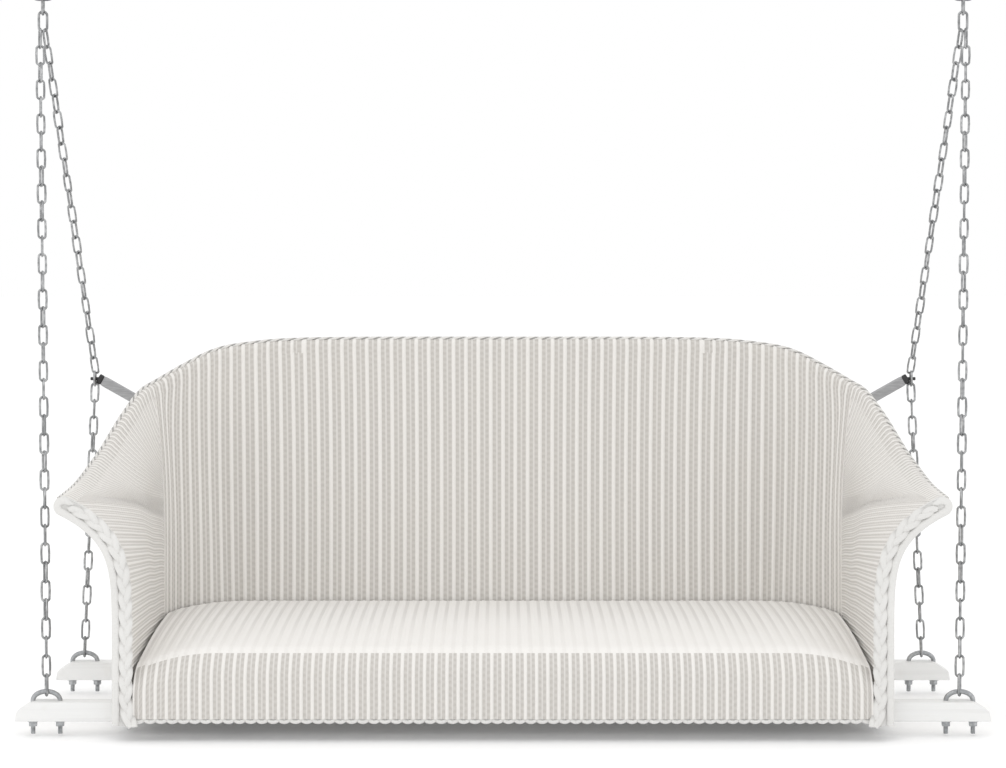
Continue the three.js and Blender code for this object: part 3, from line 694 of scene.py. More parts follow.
def grid_places(mesh, columns, rows):
    """The column and the row of each point of a new grid."""
    flat = np.empty(len(mesh.vertices) * 3)
    mesh.vertices.foreach_get("co", flat)
    flat = flat.reshape(-1, 3)
    column = np.rint((flat[:, 0] + 1) / 2 * (columns - 1)).astype(int)
    row = np.rint((flat[:, 1] + 1) / 2 * rows).astype(int)
    return column, row


def raise_ribs(count, height, place, out, pitch):
    """Pushes the laid cloth along out by its ribs' heights, less where the ribs crowd together."""
    rib_step = np.linalg.norm(np.gradient(place, axis=0), axis=-1) / np.gradient(count)[:, None]
    crowd = np.clip(rib_step / pitch, LOWEST_CROWDED, 1)
    return place + out * (RIB_HEIGHT * height * crowd)[..., None]


def map_pattern(mesh, count, length):
    """The panel's UV map: ribs one way, metres along them the other."""
    corner = np.empty(len(mesh.loops), int)
    mesh.loops.foreach_get("vertex_index", corner)
    pattern = np.stack((count, length), 1)[corner]
    mesh.uv_layers.remove(mesh.uv_layers[0])
    mesh.uv_layers.new(name="pattern").data.foreach_set("uv", pattern.ravel())


# %% Woven panel from a grid
def woven_panel(name, ribs, rows, lay_out, faces_in, pitch, relief=None, trim=None):
    """lay_out(across, up) gives places and outward directions; across and up are grids from 0 to 1."""
    count, height = rib_columns(ribs)
    columns = len(count)
    start_clean()
    bpy.ops.mesh.primitive_grid_add(x_subdivisions=columns - 1, y_subdivisions=rows, size=2)
    piece = bpy.context.object
    piece.name = name
    mesh = piece.data
    column, row = grid_places(mesh, columns, rows)
    across, up = np.meshgrid(count / ribs, np.linspace(0, 1, rows + 1), indexing="ij")
    place, out = lay_out(across, up)
    face_side = -out if faces_in else out
    heights = height[:, None] * (relief(across, up) if relief else 1)
    place = raise_ribs(count, heights, place, face_side, pitch)
    along = np.linalg.norm(np.diff(place, axis=1), axis=-1)
    length = np.concatenate((np.zeros((columns, 1)), np.cumsum(along, axis=1)), axis=1)
    mesh.vertices.foreach_set("co", place[column, row].ravel())
    map_pattern(mesh, count[column], length[column, row])
    mesh.update()
    sample = mesh.polygons[len(mesh.polygons) // 2]
    first = sample.vertices[0]
    if np.array(sample.normal) @ face_side[column[first], row[first]] < 0:
        mesh.flip_normals()
    if trim:
        trim(piece)
    give_thickness(piece, WALL)
    bpy.ops.object.shade_smooth_by_angle(angle=math.radians(70))
    return piece


# %% [markdown]
# ### Inside of the back
# On the back the ribs stand upright, about 22 mm apart, and they open a little towards the rim. The panel runs
# on round the corners. At the seat it reaches further forward than at the rim, where the arms' ribs begin.

# %% Back, inner face
CORNER_FOOT = 6.6  # station where the back's last rib meets the seat
CORNER_RIM = 5.6  # and where it meets the rim
INNER_BOTTOM = 0.024
CORNER_TOP = float(weave_top(CORNER_RIM))
BACK_RIBS = 62
BACK_WIDTH = 1.386  # along the cloth, from corner to corner
BACK_PITCH = BACK_WIDTH / BACK_RIBS


def back_inner_layout(across, up):
    shares = across * 2 - 1
    foot = stations_by_length(foot_at, CORNER_FOOT, shares)
    rim = stations_by_length(rim_at, CORNER_RIM, shares)
    station = foot + (rim - foot) * up**3
    top = weave_top(station)
    height = INNER_BOTTOM + (top - INNER_BOTTOM) * up
    out = shell_out(station, height)
    return shell(station, height) - out * SHELL_HALF, out


back_inner = woven_panel("woven_back_inside", BACK_RIBS, 84, back_inner_layout, True, BACK_PITCH)
settle(back_inner, weave, "loom_weave", "back_inner_weave")

# %% [markdown]
# ### Inside of the arms
# An arm's ribs start along its front edge and along the rim, and they all bend round into the corner of the
# seat. Each rib is a curve with three handles on the shell: its start, a point straight down the wall from
# it, and its end on the corner line. Where they crowd together they also get lower, as real ribs do.

# %% Arm, inner face
ARM_RIBS = 69
ARM_ROWS = 56
ARM_PITCH = 0.0126
EDGE_STEPS = 60
FAN_STATIONS = (5.6, 6.0, 6.5, 7.0, 8.0, 9.0, 10.0, 11.0)  # where a rib starts on the rim
FAN_HEIGHTS = (CORNER_TOP, 0.420, 0.375, 0.345, 0.312, 0.292, 0.275, 0.259)  # and where it ends in the corner
STRAIGHT = 0.25  # a straight rib's handle lies this far along it
FAN_EASE = 0.10  # metres of rim over which the ribs go over from straight to bent

front_heights = np.linspace(INNER_BOTTOM, float(weave_top(ARM_STATION)), EDGE_STEPS)
rim_stations = np.linspace(ARM_STATION, CORNER_RIM, 240)[1:]
edge_stations = np.concatenate((np.full(EDGE_STEPS, float(ARM_STATION)), rim_stations))
edge_heights = np.concatenate((front_heights, weave_top(rim_stations)))
edge_length = lengths_along(shell(edge_stations, edge_heights))
edge_share = edge_length / edge_length[-1]
front_share = edge_share[EDGE_STEPS - 1]
front_ends = INNER_BOTTOM + (FAN_HEIGHTS[-1] - INNER_BOTTOM) * np.linspace(0, 1, EDGE_STEPS)
corner_heights = np.concatenate((front_ends, np.interp(rim_stations, FAN_STATIONS, FAN_HEIGHTS)))
print("an arm's ribs start along", round(float(edge_length[-1]), 3), "m of edge")


# %% The three handles of a rib
def arm_inner_layout(side):
    def layout(across, up):
        start_station = np.interp(across, edge_share, edge_stations)
        start_height = np.interp(across, edge_share, edge_heights)
        end_height = np.interp(across, edge_share, corner_heights)
        climb = (end_height - INNER_BOTTOM) / (CORNER_TOP - INNER_BOTTOM)
        end_station = CORNER_FOOT + (CORNER_RIM - CORNER_FOOT) * climb**3
        bent = np.clip((across - front_share) * edge_length[-1] / FAN_EASE, 0, 1)
        bent = bent * bent * (3 - 2 * bent)
        way_back = (ARM_STATION - start_station) / (ARM_STATION - CORNER_FOOT)
        first_rib = front_heights[-1] + (FAN_HEIGHTS[-1] - front_heights[-1]) * way_back
        above_first = first_rib + 0.3 * (start_height - first_rib)
        bent_height = np.maximum(end_height + 0.25 * (start_height - end_height), above_first)
        handle_station = start_station + (1 - bent) * STRAIGHT * (end_station - start_station)
        straight_height = start_height + STRAIGHT * (end_height - start_height)
        handle_height = straight_height + bent * (bent_height - straight_height)
        first, second, third = (1 - up) ** 2, 2 * up * (1 - up), up**2
        station = first * start_station + second * handle_station + third * end_station
        height = first * start_height + second * handle_height + third * end_height
        out = shell_out(side * station, height)
        return shell(side * station, height) - out * SHELL_HALF, out

    return layout


def arm_relief(across, up):
    """Inside the arms the ribs are thinner than on the back."""
    return 0.6


for name, side in SIDES:
    arm = woven_panel(
        f"woven_{name}_arm_inside", ARM_RIBS, ARM_ROWS, arm_inner_layout(side), True, ARM_PITCH, arm_relief)
    settle(arm, arm_weave, "loom_weave", f"{name}_arm_inner_weave")

# %% [markdown]
# ### Outer faces
# Outside, the same weave hangs straight from the rim to the seat frame. Its upright ribs are those that come
# over the rim from the inside, so each panel is laid out from the places where they cross the rim. The arms'
# outer faces have two notches at the bottom, where the beams pass through. They are cut while the cloth still
# has no thickness: Bisect draws their edges on it, and the faces between the edges are deleted.

# %% Where the ribs meet the rim
back_starts = stations_by_length(rim_at, CORNER_RIM, np.linspace(-1, 1, BACK_RIBS + 1))
arm_shares = np.arange(math.ceil(front_share * ARM_RIBS), ARM_RIBS) / ARM_RIBS
arm_starts = np.concatenate(([float(ARM_STATION)], np.interp(arm_shares, edge_share, edge_stations)))
print(len(arm_starts), "ribs of each arm cross the rim")

# %% Outer face of the back
SKIRT_BOTTOM = -0.028


def outer_layout(starts):
    """starts are the stations of the panel's ribs, one after the other."""

    def layout(across, up):
        station = np.interp(across * (len(starts) - 1), np.arange(len(starts)), starts)
        height = SKIRT_BOTTOM + (weave_top(station) - SKIRT_BOTTOM) * up
        out = shell_out(station, height)
        return shell(station, height) + out * SHELL_HALF, out

    return layout


back_outer = woven_panel("woven_back_outside", BACK_RIBS, 72, outer_layout(back_starts), False, BACK_PITCH)
settle(back_outer, weave, "loom_weave", "back_outer_weave")

# %% Arms, outer faces, with notches for the beams
NOTCH_HALF_WIDTH = 0.022
NOTCH_TOP = 0.003


def notch_for_beams(piece):
    """Cuts the flat cloth along the notches' edges, then deletes what lies inside them."""
    bpy.ops.object.mode_set(mode="EDIT")
    for beam_y in (0, REAR_BEAM_Y):
        for edge_y in (beam_y - NOTCH_HALF_WIDTH, beam_y + NOTCH_HALF_WIDTH):
            bpy.ops.mesh.select_all(action="SELECT")
            bpy.ops.mesh.bisect(plane_co=(0, edge_y, 0), plane_no=(0, 1, 0))
    bpy.ops.mesh.select_all(action="SELECT")
    bpy.ops.mesh.bisect(plane_co=(0, 0, NOTCH_TOP), plane_no=(0, 0, 1))
    bpy.ops.mesh.select_mode(type="FACE")
    bpy.ops.mesh.select_all(action="DESELECT")
    mesh = bmesh.from_edit_mesh(piece.data)
    for face in mesh.faces:
        middle = face.calc_center_median()
        from_beam = min(abs(middle.y), abs(middle.y - REAR_BEAM_Y))
        face.select = middle.z < NOTCH_TOP and from_beam < NOTCH_HALF_WIDTH
    bmesh.update_edit_mesh(piece.data)
    bpy.ops.mesh.delete(type="FACE")
    bpy.ops.object.mode_set(mode="OBJECT")


outer_starts = np.concatenate(([CORNER_RIM], arm_starts[::-1]))
OUTER_RIBS = len(outer_starts) - 1
for name, side in SIDES:
    starts = outer_starts if side > 0 else -outer_starts[::-1]
    outside = woven_panel(
        f"woven_{name}_arm_outside", OUTER_RIBS, ARM_ROWS, outer_layout(starts), False, ARM_PITCH,
        trim=notch_for_beams)
    settle(outside, arm_weave, "loom_weave", f"{name}_arm_outer_weave")

# %% [markdown]
# ## Rolled rim
# The cloth is rolled over a steel tube, so every rib of the back and of the arms runs on over the rim. This
# is one more woven panel: two short upright legs and a half round between them, laid along the rim. Its ribs
# start where those of the inner panels end, so the two are one cloth to the eye.

# %% Rim cloth
ROLL_HALF_WIDTH = 0.0151
ROLL_HEIGHT = 0.0130
ROLL_LEG = 0.0140

rib_starts = np.concatenate((-arm_starts, back_starts, arm_starts[::-1]))
RIM_RIBS = len(rib_starts) - 1


def rim_frame(station):
    """The rim's centre, its direction away from the shell, and sideways out of it."""
    rim = rim_at(station)
    away = unit(rim - shell(station, rim[..., 2] - 0.008))
    along = rim_at(np.asarray(station) + 0.02) - rim_at(np.asarray(station) - 0.02)
    return rim, away, unit(np.cross(away, along))


def rim_layout(across, up):
    station = np.interp(across * RIM_RIBS, np.arange(RIM_RIBS + 1), rib_starts)
    rim, away, sideways = rim_frame(station)
    half_round = 0.5 * np.pi * (ROLL_HALF_WIDTH + ROLL_HEIGHT)
    travel = up * (2 * ROLL_LEG + half_round)
    angle = np.clip((travel - ROLL_LEG) / half_round, 0, 1) * np.pi
    leg = np.minimum(travel - ROLL_LEG, 0) - np.maximum(travel - ROLL_LEG - half_round, 0)
    x = -ROLL_HALF_WIDTH * np.cos(angle)
    y = ROLL_HEIGHT * np.sin(angle) + leg
    out = unit((-np.cos(angle))[..., None] * sideways + np.sin(angle)[..., None] * away)
    return rim + x[..., None] * sideways + y[..., None] * away, out


rim_cloth = woven_panel("woven_rim_roll", RIM_RIBS, 26, rim_layout, False, ARM_PITCH)
settle(rim_cloth, weave, "loom_weave", "rim_roll")

# %% [markdown]
# A thin two-strand cord is sewn along the top of the roll. Where its strands cross it is thinner, and its colour
# goes nearly black there: painted shadow in the slanting gap.

# %% Cord on the rim
TOP_CORD_RADIUS = 0.0034
ABOVE_RIM = 0.0135  # the cord lies this far above the rim's centre line
INSIDE_RIM = 0.0055  # and this far towards the seat
CREASE_STEP = 0.0224
CREASE_WIDTH = 0.13  # as a share of a strand
ROPE_STRANDS = 2
CORD_RINGS = 1200
CORD_SIDES = 10

# its nearly black crease colour is painted shadow between the strands
rim_cord_white = cord_finish("rim_cord_painted", (0.83, 0.815, 0.785), (0.13, 0.125, 0.12))
cord_stations = stations_by_length(rim_at, ARM_STATION - 0.02, np.linspace(-1, 1, CORD_RINGS))
rim, away, sideways = rim_frame(cord_stations)
cord_path = rim + away * ABOVE_RIM - sideways * INSIDE_RIM
cord_length = lengths_along(cord_path)
turn = np.arange(CORD_SIDES) / CORD_SIDES
strand = (cord_length[:, None] / (CREASE_STEP * ROPE_STRANDS) - turn[None, :]) * ROPE_STRANDS % 1
from_crease = np.minimum(strand, 1 - strand)
crease = np.exp(-((from_crease / CREASE_WIDTH) ** 2))
swell = 1.06 - 0.42 * crease
top_cord = sweep("rim_top_cord", cord_path, round_section(TOP_CORD_RADIUS, sides=CORD_SIDES), away, swell, crease)
settle(top_cord, rim_cord_white, "loom_braid")

# %% [markdown]
# ## Seat
# The seat is a firm pad on flat springs under a tight woven cover, which rolls over the front edge and hangs
# down as an apron. The cover and the apron are one cloth, so they are one panel here. Its ribs are nearly
# flat on top, where the cloth is stretched and sat on, and stand up over the rounded front edge.

# %% Seat shape
SEAT_HALF_WIDTH = 0.597
FRONT_Y = -0.060
SEAT_TOP = 0.093
SEAT_RISE = 0.005
WATERFALL = 0.046  # radius of the rounded front edge
APRON_BOTTOM = -0.0205
SEAT_RIBS = 66
SEAT_PITCH = 2 * SEAT_HALF_WIDTH / SEAT_RIBS
CROWN = 0.006
SIDE_WIDTH = 0.130  # the seat falls away within this distance of its sides
SIDE_FALL = 0.028
APRON_WIDENING = 0.0035


def crown_drop(x, forward=1.0):
    """How far the seat's surface has fallen towards its sides; less at the back (0) than in front (1)."""
    towards_side = np.maximum(0, (np.abs(x) - (SEAT_HALF_WIDTH - SIDE_WIDTH)) / SIDE_WIDTH)
    return SIDE_FALL * towards_side**2 * (0.3 + 0.7 * forward)


corner_stations = np.linspace(0, 8, 400)
wall_heights = np.full(corner_stations.shape, FLARE_START)
inner_wall = shell(corner_stations, wall_heights) - shell_out(corner_stations, wall_heights) * SHELL_HALF


def seat_back(x):
    """The seat's back edge, 3 mm clear of the shell."""
    return np.interp(np.abs(x) + 0.004, inner_wall[:, 0], inner_wall[:, 1]) - 0.003


def cover_line(x, share):
    """The cover from its back edge (0) over the front (0.5 to 0.75) to the hem (1), without ribs."""
    crest = FRONT_Y + WATERFALL
    top = np.clip(share / 0.5, 0, 1)
    roll = np.clip((share - 0.5) / 0.25, 0, 1) * np.pi / 2
    fall = np.clip((share - 0.75) / 0.25, 0, 1)
    back = seat_back(x)
    rim_height = SEAT_TOP - WATERFALL - crown_drop(x, top)
    y = back + (crest - back) * top - WATERFALL * np.sin(roll)
    z = rim_height + WATERFALL * np.cos(roll) + SEAT_RISE * (1 - top) + CROWN * np.sin(np.pi * top)
    z = z - (rim_height - APRON_BOTTOM) * fall
    return np.stack((x, y, z), -1)


# %% Woven cover with its apron
def cover_layout(across, up):
    widening = APRON_WIDENING * np.clip((up - 0.5) / 0.25, 0, 1)
    x = (across * 2 - 1) * (SEAT_HALF_WIDTH + widening)
    place = cover_line(x, up)
    slope = cover_line(x, np.minimum(up + 0.004, 1)) - cover_line(x, np.maximum(up - 0.004, 0))
    lean = cover_line(x + 0.002, up) - cover_line(x - 0.002, up)
    return place, unit(np.cross(slope, lean))


def cover_relief(across, up):
    """Full ribs on the apron, nearly flat ones in front on the seat, a little higher ones at its back."""
    to_side = np.abs(across * 2 - 1)
    fading = np.clip((0.40 + 0.10 * to_side - up) / 0.35, 0, 1)
    return 0.16 + 0.24 * fading + 0.84 * np.clip((up - 0.60) / 0.12, 0, 1)


cover = woven_panel("woven_seat_cover", SEAT_RIBS, 60, cover_layout, False, SEAT_PITCH, cover_relief)
print("laid", SEAT_RIBS, "ribs over the seat")

# %% [markdown]
# The top of the cover gets a lighter copy of the woven finish, which paints the light that falls on it: its gaps
# are nearly as light as its ribs, most of all towards the front, with painted shade in the gaps near the back and
# the sides. This second finish goes on the faces that look up.

# %% Cover finishes
# lighter colours for the faces that look up: painted light on the seat's top, with painted shade in its gaps near
# the back
LIT_TOP_RIB = (0.858, 0.839, 0.812)
SHADED_TOP_GAP = (0.725, 0.705, 0.68)
LIT_FRONT_GAP = (0.83, 0.81, 0.782)
LOOKS_UP = 0.80  # the least upward part of a top face's normal

lit_top_weave = woven_finish(
    "loom_weave_seat_top_lit", SHADED_TOP_GAP, thin_share=0.0, rib_colour=LIT_TOP_RIB, reach=0.32, lit_front=(LIT_FRONT_GAP, SEAT_RIBS / 2))
settle(cover, weave, "loom_weave", "front_apron")
cover.data.materials.append(lit_top_weave)
# faces that look up get the lighter copy of the weave: painted light
for face in cover.data.polygons:
    face.material_index = 1 if face.normal.z > LOOKS_UP else 0
print("seat cover faces in the smooth finish:", sum(f.material_index for f in cover.data.polygons))

# %% [markdown]
# The pad fills the space under the cover: a closed, crowned block with rounded sides. It is lofted from
# sections across the seat, and its ends are drawn in so that the sides bulge like stuffed cloth.

# %% One section of the pad
PAD_GAP = 0.0032  # between the cover and the pad
PAD_UNDERSIDE = 0.061
PAD_MIDDLE_Y = 0.22
PAD_MIDDLE_Z = 0.072
UNDERSIDE_Y = (-0.035, 0.05, 0.2, 0.35)  # where the underside has points, with one more near its back edge


def pad_section(x, draw_in):
    """A closed line round the pad at x; draw_in pulls it together at the pad's ends."""
    shares = np.concatenate((np.linspace(0.0, 0.5, 14), np.linspace(0.5, 0.75, 9)[1:]))
    line = cover_line(np.full(shares.shape, x), shares)
    middle = np.array((x, PAD_MIDDLE_Y, PAD_MIDDLE_Z - crown_drop(x)))
    inward = unit(np.array([(0, PAD_MIDDLE_Y - p[1], (0.05 - p[2]) * 6) for p in line]))
    upper = line + inward * PAD_GAP
    floor_z = PAD_UNDERSIDE - crown_drop(x)
    lower = np.array([(x, y, floor_z) for y in (*UNDERSIDE_Y, upper[0][1] - 0.006)])
    loop = np.concatenate((upper, lower))
    return middle + (loop - middle) * (1, 1 - 0.04 * draw_in, 1 - 0.55 * draw_in)


# %% Seat pad
PAD_HALF_WIDTH = SEAT_HALF_WIDTH - 0.004
pad_x = np.sin(np.linspace(-np.pi / 2, np.pi / 2, 41)) * PAD_HALF_WIDTH
pad_draw = np.clip((np.abs(pad_x) / PAD_HALF_WIDTH - 0.985) / 0.015, 0, 1) ** 2
pad_loops = [pad_section(x, draw) for x, draw in zip(pad_x, pad_draw)]
loop_size = len(pad_loops[0])
pad_faces = []
for here in range(0, (len(pad_loops) - 1) * loop_size, loop_size):
    there = here + loop_size
    for k in range(loop_size):
        j = (k + 1) % loop_size
        pad_faces.append((here + k, here + j, there + j, there + k))
pad_faces.append(tuple(reversed(range(loop_size))))
pad_faces.append(tuple(there + k for k in range(loop_size)))
pad_mesh = bpy.data.meshes.new("seat_pad")
pad_mesh.from_pydata(np.concatenate(pad_loops).tolist(), [], pad_faces)
pad = put_on_bench("seat_pad", pad_mesh)
turn_faces_out(pad)
bpy.ops.object.shade_smooth_by_angle(angle=math.radians(50))


# %% Cloth of the pad
PAD_THREAD = 0.003


def pad_finish():
    finish = Finish("seat_pad_cloth", {"Specular IOR Level": 0.2, "Sheen Weight": 0.2})
    where = finish.place()
    x, y = (finish.node("ShaderNodeSeparateXYZ", None, {0: where}, output=k) for k in (0, 1))
    threads = (x * (2 * math.pi / PAD_THREAD)).sine() * (y * (2 * math.pi / PAD_THREAD)).sine() * 0.5 + 0.5
    shade = finish.mix(threads * 0.5, (0.66, 0.63, 0.57), (0.52, 0.49, 0.44))
    return finish.dress(shade, 0.85 + threads * 0.1, threads, 0.0004)


settle(pad, pad_finish(), "loom_weave", "seat_deck")

# %% [markdown]
# ## Scalloped hem
# A cord binds the apron's lower edge. It is drawn up at every rib and sags between them in small lobes.

# %% Hem cord
HEM_STEPS = 10  # points between two ribs
HEM_LOW = -0.0253
LOBE_HEIGHT = 0.0038
hem_rib = np.linspace(0, SEAT_RIBS, SEAT_RIBS * HEM_STEPS + 1)
drawn_up = 1 - np.abs(np.sin(np.pi * hem_rib))
hem_x = (hem_rib / SEAT_RIBS * 2 - 1) * (SEAT_HALF_WIDTH + APRON_WIDENING)
hem_y = np.full(hem_x.shape, FRONT_Y + 0.003)
hem_path = np.stack((hem_x, hem_y, HEM_LOW + LOBE_HEIGHT * drawn_up), 1)
hem_section = round_section(0.0036, 0.0030, 8)
# crease darkens the cord where it is drawn up at each rib: painted shade
hem = sweep("hem_cord_scallops", hem_path, hem_section, (0, 1, 0), crease=drawn_up[:, None] ** 4 * 0.25)
settle(hem, cord_white, "loom_braid", "apron_hem_cord")

# %% [markdown]
# ## Arm fronts
# Each arm ends in a flat band. On its inner half lies a plait of three cords, and a fat rounded cord runs up
# its outer edge and curls over the tip. All of them follow one line, the arm's wall seen from the front.

# %% The arm's front line
ARM_BOTTOM = -0.032
BAND_HALF_WIDTH = 0.0155
rim_tip = rim_at(ARM_STATION)


def arm_line(count):
    """Points up the arm's front edge and their outward directions, on the right side, and its length."""
    height = np.linspace(ARM_BOTTOM, rim_tip[2], 400)
    length = lengths_along(shell(np.full(400, float(ARM_STATION)), height))
    even = np.interp(np.linspace(0, length[-1], count), length, height)
    station = np.full(count, float(ARM_STATION))
    point = shell(station, even)
    rise = unit(point - shell(station, even - 0.002))
    out = np.stack((rise[:, 2], np.zeros(count), -rise[:, 0]), 1)
    return point, out, length[-1]


def edge_line(count, distance):
    point, out, _ = arm_line(count)
    return point + out * distance


def tip_arc(radius, steps):
    """Points of a half circle over the arm's tip, from its outer side to its inner side."""
    point, out, _ = arm_line(60)
    ahead = np.array((-out[-1][2], 0, out[-1][0]))
    angles = np.linspace(0, np.pi, steps)[:, None]
    return point[-1] + out[-1] * radius * np.cos(angles) + ahead * radius * np.sin(angles)


print("an arm's front is", round(float(arm_line(2)[2]), 3), "m long")

# %% Band and bead
BAND_FRONT = -0.0572
BAND_BACK = -0.044
BEAD_OFFSET = 0.0094  # from the middle of the band
BEAD_SECTION = round_section(0.0064, 0.0036, 14)
BEAD_TAPER = (0.9, 0.75, 0.55, 0.3)


def flat_band(name, side):
    """A face in the band's outline, extruded forward and rounded."""
    inner = edge_line(48, -BAND_HALF_WIDTH)
    outer = edge_line(48, BAND_HALF_WIDTH)
    outline = np.concatenate((outer, tip_arc(BAND_HALF_WIDTH, 14)[1:-1], inner[::-1])) * (side, 1, 1)
    outline[:, 1] = BAND_BACK
    mesh = bpy.data.meshes.new(name)
    mesh.from_pydata(outline.tolist(), [], [tuple(range(len(outline)))])
    mesh.uv_layers.new(name="pattern")
    band = put_on_bench(name, mesh)
    bpy.ops.object.mode_set(mode="EDIT")
    bpy.ops.mesh.select_all(action="SELECT")
    bpy.ops.mesh.extrude_region_move(TRANSFORM_OT_translate={"value": (0, BAND_FRONT - BAND_BACK, 0)})
    turn_faces_out(band)
    round_edges(band, 0.002)
    return band


def edge_bead(name, side):
    """The rounded cord up the band's outer edge and over its tip."""
    down_inside = edge_line(90, -BEAD_OFFSET)[-2:-5:-1]
    line = np.concatenate((edge_line(90, BEAD_OFFSET), tip_arc(BEAD_OFFSET, 24)[1:], down_inside)) * (side, 1, 1)
    line[:, 1] = BAND_FRONT
    taper = np.ones((len(line), 1))
    taper[0] = 0.75
    taper[-len(BEAD_TAPER):, 0] = BEAD_TAPER
    return sweep(name, line, BEAD_SECTION, (0, -1, 0), taper)


for name, side in SIDES:
    parts = [flat_band(f"{name}_flat_band", side), edge_bead(f"{name}_bead", side)]
    band = join_pieces(f"{name}_arm_front_band", parts)
    settle(band, cord_white, "loom_braid", f"{name}_arm_band")

# %% [markdown]
# ### The plait
# In a three-strand plait every cord swings from side to side once in each repeat and dips under its
# neighbours twice. So each strand is a sine wave across the band and another, twice as quick, in depth.

# %% Plait
PLAIT_REPEAT = 0.081
PLAIT_SWING = 0.0062
PLAIT_DEPTH = 0.0017
PLAIT_CENTRE = -0.0072  # from the middle of the band
PLAIT_Y = -0.0592
GATHER_LENGTH = 0.030  # the strands come together at the arm's tip
FLARE_LENGTH = 0.040  # the plait's lower end bends in over the apron
FLARE_IN = 0.009
FLARE_FORWARD = 0.006
STRAND_SECTION = round_section(0.0052, 0.0028, 10)

plait_point, plait_out, arm_length = arm_line(420)
plait_travel = np.linspace(0, arm_length, 420)[:409]  # the plait ends just under the tip
plait_point = plait_point[:409]
plait_out = plait_out[:409]
gather = np.clip((plait_travel[-1] - plait_travel) / GATHER_LENGTH, 0, 1) ** 0.5
flare = np.clip(1 - plait_travel / FLARE_LENGTH, 0, 1) ** 1.5


def plait_strand(name, side, number):
    phase = 2 * np.pi * (plait_travel / PLAIT_REPEAT + number / 3)
    swing_out = PLAIT_CENTRE * gather + PLAIT_SWING * gather * np.sin(phase)
    path = plait_point + plait_out * (swing_out - FLARE_IN * flare)[:, None]
    path[:, 1] = PLAIT_Y - PLAIT_DEPTH * np.sin(2 * phase) - FLARE_FORWARD * flare
    # deep marks where a strand dips under its neighbours; the strand is darkened there: painted shade
    deep = np.clip(-np.sin(2 * phase), 0, 1)[:, None]
    thick = (0.55 + 0.45 * gather)[:, None]
    return sweep(name, path * (side, 1, 1), STRAND_SECTION, (0, -1, 0), thick, deep**2 * 0.6)


for name, side in SIDES:
    strands = [plait_strand(f"{name}_strand", side, number) for number in range(3)]
    plait = join_pieces(f"{name}_arm_front_plait", strands)
    settle(plait, cord_white, "loom_braid", f"{name}_arm_braid")

# %% [markdown]
# ## Beams
# Two planks pass under the seat and stick out on both sides. A cube is stretched to the plank's size, cut
# once at half height, and its ends are moved in so that they slope back, as sawn and sanded beam ends do.

# %% Beams
BEAM_HALF_LENGTH = 0.800
BEAM_SIZE = (1.600, 0.038, 0.032)


def beam(name, y):
    start_clean()
    bpy.ops.mesh.primitive_cube_add(size=1, location=(0, y, -BEAM_SIZE[2] / 2))
    plank = bpy.context.object
    plank.name = name
    plank.scale = BEAM_SIZE
    apply_place(plank)
    bpy.ops.object.mode_set(mode="EDIT")
    bpy.ops.mesh.select_all(action="SELECT")
    bpy.ops.mesh.bisect(plane_co=(0, 0, -BEAM_SIZE[2] / 2), plane_no=(0, 0, 1))
    for height, end in ((0, 0.772), (-0.016, 0.797)):
        pick_vertices(plank, lambda co, height=height: abs(co.z - height) < 0.001)
        bpy.ops.transform.resize(value=(end / BEAM_HALF_LENGTH, 1, 1), center_override=(0, y, height))
    bpy.ops.object.mode_set(mode="OBJECT")
    round_edges(plank, 0.0022, 3, 20)
    return plank


settle(beam("front_plank", 0), painted_wood, "painted_wood", "front_beam")
settle(beam("rear_plank", REAR_BEAM_Y), painted_wood, "painted_wood", "rear_beam")

# %% [markdown]
# ## U-bolts and nuts
# A U-bolt is a bent rod with a thread cut on both legs. It is swept along its own line, and the radius ripples
# where the thread is. A flanged nut starts as a six-sided cylinder on a round one. It is made anew for each leg.

# %% U-bolt
ROD_RADIUS = 0.004
UBOLT_HALF_SPAN = 0.0223
UBOLT_RISE = 0.015
UBOLT_END = -0.0545
THREAD_TOP = -0.040
THREAD_PITCH = 0.00125


def u_bolt(name, x, y):
    thread = np.arange(UBOLT_END, THREAD_TOP, THREAD_PITCH / 4)
    leg = np.concatenate((thread, np.linspace(THREAD_TOP, 0, 5)))
    arch = np.linspace(np.pi, 0, 25)[1:-1]
    left_leg = np.stack((np.full(leg.shape, -UBOLT_HALF_SPAN), leg), 1)
    bow = np.stack((UBOLT_HALF_SPAN * np.cos(arch), UBOLT_RISE * np.sin(arch)), 1)
    line = np.concatenate((left_leg, bow, left_leg[::-1] * (-1, 1)))
    path = np.stack((x + line[:, 0], np.full(len(line), y), line[:, 1]), 1)
    ripple = np.where(line[:, 1] < THREAD_TOP, 0.94 + 0.06 * np.cos(2 * np.pi * line[:, 1] / THREAD_PITCH), 1.0)
    ripple[[0, -1]] = 0.8
    scale = np.repeat(ripple[:, None], 12, 1)
    return sweep(name, path, round_section(ROD_RADIUS, sides=12), (0, 1, 0), scale)


# %% Flanged nut
NUT_TOP = -0.0325


def flanged_nut(name, x, y):
    start_clean()
    bpy.ops.mesh.primitive_cylinder_add(vertices=6, radius=0.0075, depth=0.0085, location=(x, y, NUT_TOP - 0.00525))
    body = bpy.context.object
    round_edges(body, 0.0007)
    start_clean()
    bpy.ops.mesh.primitive_cylinder_add(vertices=28, radius=0.010, depth=0.002, location=(x, y, NUT_TOP - 0.001))
    flange = bpy.context.object
    round_edges(flange, 0.0006)
    apply_place(body)
    apply_place(flange)
    return join_pieces(name, [body, flange])


